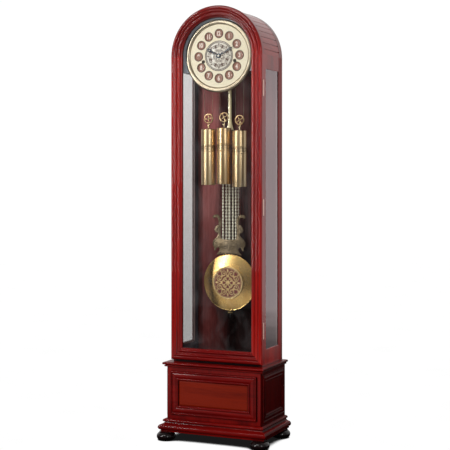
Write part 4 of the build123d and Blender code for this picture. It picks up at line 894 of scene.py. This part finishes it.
def hand(name, node, body, length, width, tail, angle, y_front, hub_r, extra):
    half = [
        (2.2, -tail), (3.0, -tail * 0.55), (2.0, -tail * 0.2), (2.0, length * 0.10), (1.7, length * 0.22), (width * 0.62, length * 0.335),
        (width * 0.40, length * 0.44), (1.5, length * 0.50), (1.5, length * 0.57), (width * 0.92, length * 0.685), (width * 0.62, length * 0.80),
        (1.0, length * 0.875), (0.4, length),
    ]
    half = smooth_line(half, 4, sharp=(0, 8, 11))
    line = half + [(-x, y) for x, y in reversed(half)]
    heart = smooth_line([(0, length * 0.625), (width * 0.46, length * 0.69), (width * 0.26, length * 0.79), (0, length * 0.835)], 5, sharp=(0, 3))
    hole1 = heart + [(-x, y) for x, y in reversed(heart[1:-1])]
    eye = smooth_line([(0, length * 0.27), (width * 0.34, length * 0.335), (width * 0.14, length * 0.42), (0, length * 0.455)], 5, sharp=(0, 3))
    hole2 = eye + [(-x, y) for x, y in reversed(eye[1:-1])]
    blade = plate_from(name + "_blade", [turned(line, angle)], y_front, 1.2, [M["steel_blue"]], bevel=0.22,
                       holes=[turned(hole1, angle), turned(hole2, angle)])
    b = Build()
    extra(b)
    works = b.make(name + "_works", [M["steel_blue"], M["frost"], M["brass_pale"]], smooth=40)
    ob = join(name, [blade, works])
    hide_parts(node)
    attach(ob, body)
    return ob


def hour_extra(b):
    b.lathe([(3.1, -67.5), (4.3, -67.5), (4.8, -67.1), (5.0, -66.9), (9.8, -66.9), (10.4, -66.5), (10.4, -65.5), (4.8, -65.4), (4.8, -46.6), (3.1, -46.6)], about_y(0, DZ), 48, m=0)
    phase = mate_phase(10, 0.0, 40, 120.0)
    line = [(x, z + DZ) for x, z in gear_points(40, 0.768, phase, 0.45, 1.1, 0.18)]
    ring(b, line, 4.7, -48.5, -46.5, 2)


def ring(b, line, bore, y0, y1, m):
    """Toothed wheel with a round bore, closed."""
    n = len(line)
    inner = [(bore * math.cos(math.atan2(z - DZ, x)), DZ + bore * math.sin(math.atan2(z - DZ, x))) for x, z in line]
    o0 = [b.vert(x, y0, z) for x, z in line]
    o1 = [b.vert(x, y1, z) for x, z in line]
    i0 = [b.vert(x, y0, z) for x, z in inner]
    i1 = [b.vert(x, y1, z) for x, z in inner]
    for k in range(n):
        l = (k + 1) % n
        b.face((o0[k], o0[l], o1[l], o1[k]), None, m)
        b.face((i0[l], i0[k], i1[k], i1[l]), None, m)
        b.face((i0[k], i0[l], o0[l], o0[k]), None, m)
        b.face((o1[k], o1[l], i1[l], i1[k]), None, m)


def minute_extra(b):
    b.lathe([(0, -71.0), (2.4, -70.8), (4.2, -70.1), (5.2, -69.2), (5.2, -68.7)], about_y(0, DZ), 48, m=1, close=False)
    b.lathe([(5.2, -68.7), (8.0, -68.7), (8.4, -68.4), (8.4, -67.7), (3.0, -67.5), (3.0, -45.4), (3.0, 22.0), (1.5, 22.0), (1.5, 27.0), (0, 27.0)], about_y(0, DZ), 48, m=0, close=False)
    ring(b, [(x, z + DZ) for x, z in gear_points(12, 0.8, 0.0, 0.8, 0.8, 0.18)], 2.9, -45.3, -41.3, 2)
    ring(b, [(x, z + DZ) for x, z in gear_points(64, 0.6, 0.0, 0.42, 1.1, 0.14)], 2.9, -32.0, -30.0, 2)


hand("hour_hand_pierced", "hour_hand", "hour_hand_body", 70.0, 8.5, 8.0, 300.0, -66.8, 9.0, hour_extra)
hand("minute_hand_pierced", "minute_hand", "minute_hand_body", 84.0, 6.5, 14.0, 62.0, -68.8, 6.5, minute_extra)


# ------------------------------------------------------------------ weights, cables and barrel windings
def curved_box(b, cx, cy, r0, r1, a0, a1, z0, z1, m, step=6.0):
    n = max(1, int(math.ceil(abs(math.degrees(a1 - a0)) / step)))
    rings = []
    for i in range(n + 1):
        a = a0 + (a1 - a0) * i / n
        c, s = math.cos(a), math.sin(a)
        rings.append([(cx + r * c, cy + r * s, z) for r, z in ((r0, z0), (r1, z0), (r1, z1), (r0, z1))])
    b.sweep(rings, m=m)


KEY = [(0, 0, 8, 0), (0, 0, 0, 6), (0, 6, 6, 6), (6, 2, 6, 6), (2.6, 2, 6, 2), (2.6, 2, 2.6, 4.2)]
for side, (x, zp, zb) in WEIGHTS.items():
    top = zp - 47.0
    low = top - 248.0
    b = Build()
    prof = profile((0, low), [
        ((25.0, low),), ((27.0, low + 0.4),), ((27.6, low + 1.8),), ((29.6, low), (31.6, low + 1.4)), ((32.0, low + 2.8),), ((32.0, top - 101.5),),
        ((33.0, top - 100.2), (32.0, top - 99.0)), ((31.9, top - 98.4),), ((31.9, top - 71.6),), ((32.0, top - 71.0),), ((33.0, top - 69.8), (32.0, top - 68.5)),
        ((32.0, top - 2.8),), ((31.6, top - 1.4), (29.6, top)), ((27.6, top - 1.8),), ((27.0, top - 2.2),), ((14.0, top - 2.4),), ((8.0, top - 1.6),),
        ((6.2, top + 1.2), (4.4, top + 2.6)), ((2.6, top + 3.6),), ((2.5, zp - 36.5),), ((3.9, zp - 34.8), (2.5, zp - 33.0)), ((0, zp - 33.0),),
    ], 6)
    b.lathe(prof, about_z(x, WY), 128, m=0)
    # frieze: a meander between two beaded fillets
    units = 10
    per = 2 * math.pi / units
    zc = top - 85.0
    for k in range(units):
        a_of = lambda u: per * (k + (u + 0.6) / 8.0)
        z_of = lambda v: zc - 7.4 + v * 2.45
        t = 0.95
        for u0, v0, u1, v1 in KEY:
            if v0 == v1:
                curved_box(b, x, WY, 31.7, 32.6, a_of(u0) - t / 32, a_of(u1) + t / 32, z_of(v0) - t, z_of(v0) + t, 1)
            else:
                curved_box(b, x, WY, 31.7, 32.6, a_of(u0) - t / 32, a_of(u0) + t / 32, z_of(v0), z_of(v1), 1)
    for dz in (-11.6, 11.6):
        for j in range(64):
            a = 2 * math.pi * j / 64
            c, s = math.cos(a), math.sin(a)
            base = []
            for q in range(6):
                w = q * math.pi / 3
                base.append((0.95 * math.cos(w), 0.95 * math.sin(w)))
            lo_ = [b.vert(x + 31.8 * c - u * s, WY + 31.8 * s + u * c, zc + dz + v) for u, v in base]
            hi_ = [b.vert(x + 32.5 * c - 0.6 * u * s, WY + 32.5 * s + 0.6 * u * c, zc + dz + 0.6 * v) for u, v in base]
            for q in range(6):
                b.face((lo_[q], lo_[(q + 1) % 6], hi_[(q + 1) % 6], hi_[q]), None, 1)
            b.face(hi_, None, 1)
            b.face(list(reversed(lo_)), None, 1)
    # stirrup: foot, upright strap with a rounded head, axle with a domed head
    b.box(x - 4, x + 4, WY - 4, WY + 6, zp - 33, zp - 28.4, 2)
    strap = [(x - 2, zp - 32), (x + 2, zp - 32), (x + 2, zp - 6), (x + 3.4, zp)] + [(x + 3.4 * math.cos(a), zp + 1 + 3.4 * math.sin(a)) for a in [math.pi * i / 12 for i in range(13)]] + [(x - 3.4, zp), (x - 2, zp - 6)]
    b.prism(strap, lambda u, v, t: (u, t, v), WY + 4, WY + 6, 2)
    b.lathe([(0, WY - 6.4), (1.8, WY - 6.2), (3.1, WY - 5.4), (3.4, WY - 4.8), (3.4, WY - 4.6), (2.0, WY - 4.5), (2.0, WY + 4.4), (0, WY + 4.4)], about_y(x, zp), 32, m=2)
    w = b.make(f"weight_shell_{side}", [M["brass_z"], M["olive"], M["brass_pale"]], smooth=32)
    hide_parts(f"weight_{side}")
    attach(w, f"weight_{side}_body")

    # pulley: grooved rim, four spokes and a hub
    b = Build()
    b.lathe([
        (18.5, WY - 3.0), (21.4, WY - 3.0), (22.0, WY - 2.6), (22.0, WY - 2.2), (18.75, WY - 0.8), (18.75, WY + 0.8),
        (22.0, WY + 2.2), (22.0, WY + 2.6), (21.4, WY + 3.0), (18.5, WY + 3.0), (18.0, WY + 2.4), (18.0, WY - 2.4),
    ], about_y(x, zp), 72, m=0)
    b.lathe([(2.05, WY - 3.0), (4.0, WY - 3.0), (4.6, WY - 2.5), (4.6, WY + 2.5), (4.0, WY + 3.0), (2.05, WY + 3.0)], about_y(x, zp), 40, m=0)
    turn = {"left": 8.0, "centre": 28.0, "right": 33.0}[side]
    for k in range(4):
        a = math.radians(turn + 90 * k)
        ca_, sa_ = math.cos(a), math.sin(a)
        spoke = [(4.3, -2.0), (6.5, -1.45), (12.0, -1.15), (16.0, -1.3), (18.2, -2.2), (18.2, 2.2), (16.0, 1.3), (12.0, 1.15), (6.5, 1.45), (4.3, 2.0)]
        b.prism([(x + u * ca_ - v * sa_, zp + u * sa_ + v * ca_) for u, v in spoke], lambda u, v, t: (u, t, v), WY - 1.3, WY + 1.3, 0)
    pu = b.make(f"pulley_spoked_{side}", [M["wheel"]], smooth=40)
    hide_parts(f"pulley_{side}")
    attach(pu, f"pulley_{side}_body")

    # cable: barrel, pulley and seat board
    b = Build()
    path = []
    z0, z1 = zb, zp
    n = 90
    for i in range(n + 1):
        path.append((x - WR, WY, z0 + (z1 - z0) * i / n))
    for i in range(1, 40):
        a = math.pi + math.pi * i / 40
        path.append((x + WR * math.cos(a), WY, zp + WR * math.sin(a)))
    for i in range(n + 1):
        path.append((x + WR, WY, zp + (1617.0 - zp) * i / n))
    b.tube(path, 0.7, segs=8)
    c = b.make(f"cable_run_{side}", [M["cable"]], smooth=60)
    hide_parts(f"cable_{side}")
    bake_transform(c)

    # turns already wound on the barrel
    b = Build()
    path = []
    turns = 12
    for i in range(turns * 28 + 1):
        a = math.pi - 2 * math.pi * i / 28
        path.append((x + (WR - 0.1) * math.cos(a), WY + 1.7 + 1.55 * i / 28 * 0.92, zb + (WR - 0.1) * math.sin(a)))
    b.tube(path, 0.66, segs=6)
    wd = b.make(f"barrel_windings_{side}", [M["cable"]], smooth=60)
    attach(wd, f"barrel_{side}_body")

# ------------------------------------------------------------------ pendulum stick
b = Build()
b.box(-0.2, 0.2, 53.0, 63.0, 1724, 1748, 1)
for z0, z1, w in ((1743, 1751, 2.5), (1712, 1726, 3.5)):
    b.prism([(-w, 51.5), (w, 51.5), (w, 64.5), (-w, 64.5)], lambda u, v, t: (u, v, t), z0, z1, 1)
    for yy in (54.5, 61.5):
        b.lathe([(0, -w - 0.9), (1.4, -w - 0.9), (1.8, -w - 0.2), (1.8, w + 0.2), (1.4, w + 0.9), (0, w + 0.9)],
                lambda r, t, a, yy=yy, zc=(z0 + z1) / 2: (t, yy + r * math.cos(a), zc + r * math.sin(a)), 20, m=2)
chops = b.make("suspension_chops", [M["silver"], M["brass_pale"], M["steel_blue"]], smooth=40)
right = [(7.0, 1714.0), (7.0, 1420.0)] + arc3((7.0, 1420.0), (10.0, 1390.0), (18.5, 1364.0), 14)
line = right + [(-x, z) for x, z in reversed(right)]
blade = plate_from("stick_blade", [line], 56.5, 3.0, [M["cream"]], bevel=0.35)
stick = join("pendulum_stick_flared", [blade, chops])
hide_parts("pendulum_stick")
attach(stick, "pendulum")

# ------------------------------------------------------------------ pendulum grid
def beaded(b, x, y, z0, z1, r, pitch, m):
    """Rod turned as a string of long beads."""
    prof = [(0.0, z0)]
    steps = 8
    beads = int(round((z1 - z0) / pitch))
    step = (z1 - z0) / beads
    for i in range(beads * steps + 1):
        t = (i % steps) / steps
        prof.append((1.2 + (r - 1.2) * math.sin(math.pi * t) ** 0.75, z0 + step * i / steps))
    prof.append((0.0, z1))
    b.lathe(prof, about_z(x, y), 14, m=m, close=False)


b = Build()
py = 58.0
for xx, yy, r in ((-10.8, py + 5.5, 3.3), (10.8, py + 5.5, 3.3), (-31.0, py - 6.2, 3.7), (31.0, py - 6.2, 3.7), (-37.5, py + 7.0, 3.7), (37.5, py + 7.0, 3.7)):
    beaded(b, xx, yy, 870.0, 1354.0, r + 0.7, 14.2, 0)
    for z0, z1 in ((1343.0, 1353.0), (871.0, 881.0)):
        b.lathe([(0, z0), (r - 0.6, z0), (r + 0.5, z0 + 1.4), (r + 0.5, z1 - 1.4), (r - 0.6, z1), (0, z1)], about_z(xx, yy), 24, m=1)
for xx in (0.0, -16.4, 16.4):
    beaded(b, xx, py - 4, 870.0, 1354.0, 3.8, 14.2, 0)
for z0, z1 in ((1352.0, 1364.0), (862.0, 872.0)):
    line = []
    for cx, cy, a0 in ((42.0, 65.5, 0), (-42.0, 65.5, 90), (-42.0, 51.6, 180), (42.0, 51.6, 270)):
        for k in range(7):
            a = math.radians(a0 + 15 * k)
            line.append((cx + 4 * math.cos(a), cy + 4 * math.sin(a)))
    mid = (z0 + z1) / 2
    rings = []
    for z, inset in ((z0, 1.4), (z0 + 0.6, 0.5), (z0 + 1.6, 0.0), (mid - 1.2, 0.0), (mid - 0.6, 0.5), (mid + 0.6, 0.5), (mid + 1.2, 0.0), (z1 - 1.6, 0.0), (z1 - 0.6, 0.5), (z1, 1.4)):
        rings.append([(u - math.copysign(min(inset, abs(u)), u) if abs(u) > 30 else u, v + (inset if v < py + 0.5 else -inset), z) for u, v in line])
    b.sweep(rings, m=2)
    for xx in (-31.0, 0.0, 31.0):
        b.lathe([(0, 46.7), (1.6, 46.7), (2.3, 47.2), (2.3, 48.0), (0, 48.0)], about_y(xx, mid), 20, m=1)
# lower rod with its thread
prof = [(0, 525.0), (2.2, 525.0)]
z = 526.2
while z < 606.0:
    prof += [(3.0, z), (3.0, z + 0.5), (2.62, z + 0.9), (2.62, z + 1.1)]
    z += 1.5
prof += [(3.0, 607.0), (3.0, 865.0), (0, 865.0)]
b.lathe(prof, about_z(0.0, 60.0), 24, m=3)
grid = b.make("pendulum_grid_beaded", [M["chain"], M["silver"], M["olive"], M["dark"]], smooth=42)
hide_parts("pendulum_grid")
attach(grid, "pendulum")

# ------------------------------------------------------------------ lyre plate
half = [
    (0, 874), (30, 876), (37, 884), (40, 910), (38, 935), (36, 950), (39, 965), (44, 976), (52, 984), (63, 986), (74, 983), (80, 975.5), (75, 968.5), (69, 971),
    (62, 973.5), (55, 969), (51, 960), (49.5, 945), (51, 939), (59, 937), (66, 928), (69.5, 916), (63, 906), (54.5, 903), (53, 895), (60, 885), (71, 875),
    (79, 862), (78.5, 847), (71, 837), (71.5, 826), (66, 825), (60, 836), (51, 839), (45, 830), (50, 819),
]
half = smooth_line(half, 5, sharp=(0, 1)) + [(62, 806)]
bottom = arc3((62, 806), (0, BOB_Z + 128.5), (-62, 806), 24)
left = [(-x, z) for x, z in reversed(half)]
outline = half + bottom[:-1] + left[:-1]
plate = plate_from("lyre_sheet", [outline], 45.0, 2.5, [M["olive"]], bevel=0.4)
b = Build()
for sgn in (-1, 1):
    for pts, r in (
        (scroll(sgn * 63, 977.5, 7.5, 90 + sgn * 60, 1.2, -sgn), 1.5),
        ([(sgn * u, v) for u, v in smooth_line([(63, 983), (50, 979), (45, 968), (44, 950), (47, 930), (58, 920), (60, 909)], 6)], 1.5),
        (scroll(sgn * 59, 918, 7.0, 90 - sgn * 80, 1.1, sgn), 1.4),
        ([(sgn * u, v) for u, v in smooth_line([(47, 905), (47, 893), (57, 880), (70, 868), (74, 855), (66, 845), (57, 849)], 6)], 1.6),
        (scroll(sgn * 64, 857, 8.0, 90 - sgn * 70, 1.15, sgn), 1.5),
        ([(sgn * u, v) for u, v in smooth_line([(3, 868), (18, 866), (32, 860), (42, 848), (44, 836)], 6)], 1.3),
    ):
        ornament_wire(b, pts, 45.0, r, 0)
    for u, v, a, ln, wd in ((30, 850, 200, 18, 4.0), (24, 838, 190, 16, 3.4), (34, 834, 235, 14, 3.2), (48, 822, 215, 16, 3.0), (46, 912, 100, 16, 3.0)):
        aa = a if sgn > 0 else 180 - a
        ornament_leaf(b, leaf(sgn * u, v, aa, ln, wd), 45.2, 1.5, 0)
ornament_leaf(b, leaf(0, 820, 90, 30, 6.0), 45.2, 2.0, 0)
for sgn in (-1, 1):
    # two standoffs behind the plate hold it to the lower bar of the grid
    b.lathe([(0, 47.3), (3.0, 47.3), (3.0, 47.9), (0, 47.9)], about_y(sgn * 24, 867), 20, m=0)
orn = b.make("lyre_ornament", [M["olive"]], smooth=50)
lyre = join("lyre_scrolled", [plate, orn])
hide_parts("lyre_plate")
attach(lyre, "pendulum")

# ------------------------------------------------------------------ bob
b = Build()
ry, fy = 51.9, 34.0
R = ((BOB_R - 4.0) ** 2 + (ry - fy) ** 2) / (2 * (ry - fy))
dome = [(0.0, fy)]
for i in range(1, 41):
    rr = (BOB_R - 4.0) * i / 40
    dome.append((rr, fy + R - math.sqrt(R * R - rr * rr)))
prof = dome + arc3((BOB_R - 4.0, ry), (BOB_R - 1.5, 51.75), (BOB_R, 53.4), 6) + [(BOB_R, 55.4), (BOB_R - 0.6, 56.0), (BOB_R - 8, 56.0), (0.0, 56.0)]
b.lathe(prof, about_y(0, BOB_Z), 256, m=0)
tube = [(-9, 56.2), (9, 56.2), (9, 66.0), (-9, 66.0)]
guide_in = [(3.3 * math.cos(a), 60 + 3.3 * math.sin(a)) for a in [2 * math.pi * i / 24 for i in range(24)]]
# guide block with its bore: outer box matched to the bore's 24 points
outer = []
for i in range(24):
    a = 2 * math.pi * i / 24
    c, s = math.cos(a), math.sin(a)
    k = min(9 / abs(c) if abs(c) > 1e-9 else 1e9, ((5.0 + 1.0) if s > 0 else 4.0) / abs(s) if abs(s) > 1e-9 else 1e9)
    outer.append((k * c, 60 + k * s))
for zz0, zz1 in ((610.0, 650.0),):
    o0 = [b.vert(u, v, zz0) for u, v in outer]
    o1 = [b.vert(u, v, zz1) for u, v in outer]
    i0 = [b.vert(u, v, zz0) for u, v in guide_in]
    i1 = [b.vert(u, v, zz1) for u, v in guide_in]
    for i in range(24):
        j = (i + 1) % 24
        b.face((o0[i], o0[j], o1[j], o1[i]), None, 1)
        b.face((i0[j], i0[i], i1[i], i1[j]), None, 1)
        b.face((i0[i], i0[j], o0[j], o0[i]), None, 1)
        b.face((o1[i], o1[j], i1[j], i1[i]), None, 1)
bob = b.make("bob_domed", [M["satin"], M["brass_pale"]], smooth=30)
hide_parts("bob")
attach(bob, "pendulum_bob")

# ------------------------------------------------------------------ bob medallion: generic scroll design
b = Build()
yd = lambda r: fy + R - math.sqrt(R * R - r * r)
prof = profile((0, 32.6), [((66.0, 32.6),), ((66.6, 31.6),), ((68.2, 30.9), (69.6, 31.3)), ((70.2, 31.7),), ((71.4, 31.3), (72.6, 32.2)), ((73.0, 33.2),), ((73.0, yd(73.0) + 0.25),), ((66.0, yd(66.0) + 0.25),), ((33.0, yd(33.0) + 0.25),), ((0, fy + 0.25),)], 6)
cut = 1
b.lathe(prof[:2], about_y(0, BOB_Z), 160, m=0, close=False)
b.lathe(prof[1:], about_y(0, BOB_Z), 160, m=1, close=False)
for r_ in (62.6,):
    b.tube([(r_ * math.cos(a), 32.5, BOB_Z + r_ * math.sin(a)) for a in [2 * math.pi * i / 120 for i in range(120)]], 0.8, segs=6, m=1, closed=True)
y0 = 32.5
for q in range(4):
    base = 90 * q
    def P(u, v):
        """u across, v out from the centre, turned by quarters."""
        a = math.radians(base)
        return (u * math.cos(a) + v * math.sin(a), BOB_Z - u * math.sin(a) + v * math.cos(a))
    for sgn in (-1, 1):
        big = scroll(0, 0, 13.0, 100 if sgn > 0 else 80, 1.3, -sgn)
        big = [P(sgn * 19 + u, 39 + v) for u, v in big]
        ornament_wire(b, big, y0, 2.7, 1)
        sml = scroll(0, 0, 7.5, -60 if sgn > 0 else 240, 1.15, sgn)
        sml = [P(sgn * 12 + u, 17 + v) for u, v in sml]
        ornament_wire(b, sml, y0, 2.0, 1)
        link = smooth_line([P(sgn * 2, 8), P(sgn * 9, 21), P(sgn * 4, 31), P(sgn * 9, 47), P(sgn * 20, 54)], 6)
        ornament_wire(b, link, y0, 2.4, 1)
        x0, z0 = P(sgn * 30, 46)
        ornament_leaf(b, leaf(x0, z0, (45 if sgn > 0 else 135) - base, 13, 3.2), y0, 1.8, 1)
        x0, z0 = P(sgn * 22, 26)
        ornament_leaf(b, leaf(x0, z0, (20 if sgn > 0 else 160) - base, 12, 2.6), y0, 1.5, 1)
    x0, z0 = P(0, 44)
    ornament_leaf(b, leaf(x0, z0, 90 - base, 17, 4.4), y0, 2.0, 1)
    x0, z0 = P(0, 22)
    ornament_leaf(b, leaf(x0, z0, 90 - base, 14, 3.2), y0, 1.6, 1)
for j in range(8):
    ornament_leaf(b, leaf(0, BOB_Z, 45 * j + 22.5, 12, 3.4), y0, 1.9, 1)
b.lathe([(0, 30.2), (2.4, 30.5), (3.8, 31.6), (4.0, 32.5), (0, 32.55)], about_y(0, BOB_Z), 32, m=1)
med = b.make("bob_medallion_scrolls", [M["red_ground"], M["gilt"]], smooth=50)
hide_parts("bob_medallion")
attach(med, "pendulum_bob")

# ------------------------------------------------------------------ rating nut, knurled
b = Build()
n = 72
def nut_ring(z, r_out, k=0.35):
    return [((r_out - (k if i % 2 else 0)) * math.cos(2 * math.pi * i / n), 60 + (r_out - (k if i % 2 else 0)) * math.sin(2 * math.pi * i / n), z) for i in range(n)]
inner = lambda z: [(3.05 * math.cos(2 * math.pi * i / n), 60 + 3.05 * math.sin(2 * math.pi * i / n), z) for i in range(n)]
rings = [inner(546.0), nut_ring(546.0, 10.2, 0), nut_ring(546.9, 11.0), nut_ring(552.1, 11.0), nut_ring(553.0, 10.2, 0), inner(553.0)]
b.sweep(rings, closed_path=True)
nut = b.make("rating_nut_knurled", [M["brass"]], smooth=25)
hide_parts("rating_nut")
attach(nut, "rating_nut_body")

# ------------------------------------------------------------------ floor, light and camera
def stage_plane(name, half, z, mat):
    me = bpy.data.meshes.new(name)
    me.from_pydata([(-half, -half, z), (half, -half, z), (half, half, z), (-half, half, z)], [], [(0, 1, 2, 3)])
    me.materials.append(mat)
    ob = bpy.data.objects.new(name, me)
    scene.collection.objects.link(ob)
    return ob


fl = Mat("studio_floor")
soft = fl.noise(fl.scaled(3, 3, 3), 1.0, 2.0)
# painted shadow: the floor glows white and is darkened by ambient occlusion under and round the clock
ao = fl.n("AmbientOcclusion", samples=32)
ao.inputs["Distance"].default_value = 0.10
floor_glow_shadowed = fl.gray(ao.outputs["AO"], 0.31, 0.50, 0.01, 1.0)
floor_glow_shadowed = fl.math("MULTIPLY", floor_glow_shadowed, fl.gray(soft, 0.3, 0.7, 0.995, 1.02))
glow = fl.n("Emission")
glow.inputs[0].default_value = (1, 1, 1, 1)
fl.link(floor_glow_shadowed, glow.inputs[1])
fl.link(glow.outputs[0], fl.out.inputs[0])
floor = stage_plane("floor", 12.0, 0.0, fl.mat)
floor.visible_glossy = False
floor.visible_diffuse = False
floor.visible_transmission = False

# a floor seen only in reflections: it glows in a band in front and far behind; its dark middle round the clock is
# painted shade standing in for the floor's shadow
fd = Mat("studio_floor_dark")
place = fd.n("SeparateXYZ")
fd.link(fd.tc.outputs["Object"], place.inputs[0])
near = fd.math("MULTIPLY", fd.gray(place.outputs[1], -0.45, -0.9, 0.0, 1.0), fd.gray(place.outputs[1], -2.6, -1.7, 0.0, 1.0))
mottle = fd.gray(fd.noise(fd.scaled(2, 2, 2), 1.0, 2.0), 0.3, 0.7, 0.8, 1.2)
glow = fd.n("Emission")
glow.inputs[0].default_value = (1.0, 0.98, 0.95, 1)
far = fd.gray(place.outputs[1], 1.9, 4.8, 0.0, 0.80)
fd.link(fd.math("MULTIPLY", fd.math("ADD", fd.math("MULTIPLY", near, 0.75), fd.math("ADD", far, 0.012)), mottle), glow.inputs[1])
fd.link(glow.outputs[0], fd.out.inputs[0])
under = stage_plane("floor_for_reflections", 4.85, -0.0005, fd.mat)
under.visible_camera = False

world = bpy.data.worlds.new("studio")
scene.world = world
world.use_nodes = True
wt = world.node_tree
wt.nodes.clear()
W = lambda kind: wt.nodes.new("ShaderNode" + kind)
out, tcw, sepw = W("OutputWorld"), W("TexCoord"), W("SeparateXYZ")
wt.links.new(tcw.outputs["Generated"], sepw.inputs[0])


def mapr(sock, lo, hi, a, bb):
    m = W("MapRange")
    m.interpolation_type = "SMOOTHSTEP"
    for i, v in enumerate((None, lo, hi, a, bb)):
        if v is not None:
            m.inputs[i].default_value = v
    wt.links.new(sock, m.inputs[0])
    return m.outputs[0]


def wmath(op, a, b_):
    m = W("Math")
    m.operation = op
    for i, x in enumerate((a, b_)):
        if isinstance(x, (int, float)):
            m.inputs[i].default_value = x
        else:
            wt.links.new(x, m.inputs[i])
    return m.outputs[0]


back = mapr(sepw.outputs[1], -0.05, 0.30, 0.0, 0.85)       # the room is white behind
right_card = mapr(sepw.outputs[0], 0.05, 0.45, 0.0, 0.28)
left_card = mapr(sepw.outputs[0], -0.62, -0.86, 0.0, 0.28)
soft_top = wmath("MULTIPLY", mapr(sepw.outputs[2], 0.06, 0.24, 0.0, 0.22), mapr(sepw.outputs[2], 0.85, 0.60, 0.5, 1.0))
front = wmath("ADD", wmath("MAXIMUM", wmath("MAXIMUM", right_card, left_card), soft_top), 0.08)
mx = W("Math")
mx.operation = "MAXIMUM"
wt.links.new(back, mx.inputs[0])
wt.links.new(front, mx.inputs[1])
bg_room, bg_cam, mixw, lp = W("Background"), W("Background"), W("MixShader"), W("LightPath")
wt.links.new(mx.outputs[0], bg_room.inputs["Strength"])
bg_room.inputs["Color"].default_value = (1.0, 0.99, 0.98, 1)
bg_cam.inputs["Color"].default_value = (1, 1, 1, 1)
bg_cam.inputs["Strength"].default_value = 1.02
wt.links.new(lp.outputs["Is Camera Ray"], mixw.inputs[0])
wt.links.new(bg_room.outputs[0], mixw.inputs[1])
wt.links.new(bg_cam.outputs[0], mixw.inputs[2])
wt.links.new(mixw.outputs[0], out.inputs[0])


def area(name, loc, target, sx, sy, power, colour=(1, 1, 1)):
    li = bpy.data.lights.new(name, "AREA")
    li.shape = "RECTANGLE"
    li.size, li.size_y = sx, sy
    li.energy = power
    li.color = colour
    ob = bpy.data.objects.new(name, li)
    scene.collection.objects.link(ob)
    ob.location = loc
    ob.rotation_euler = (Vector(target) - Vector(loc)).to_track_quat("-Z", "Y").to_euler()
    ob.visible_camera = False
    return ob


area("key_strip", (-2.3, -3.3, 1.9), (0, 0, 1.3), 0.20, 3.0, 82)
area("overhead", (-0.6, -2.6, 3.5), (0, 0, 1.4), 2.0, 1.0, 40)
area("fill_right", (3.2, -3.4, 1.9), (0, 0, 1.3), 0.9, 1.6, 34)

cam = bpy.data.cameras.new("camera")
cam.sensor_width = 36.0
cam.lens = 91.195
cam.shift_x, cam.shift_y = 0.00036, -0.1026
cam.clip_end = 60.0
co = bpy.data.objects.new("camera", cam)
co.location = (2.0509, -4.5953, 1.1456)
co.rotation_euler = (math.radians(90), 0, math.radians(24))
scene.collection.objects.link(co)
scene.camera = co
scene.view_settings.view_transform = "Standard"
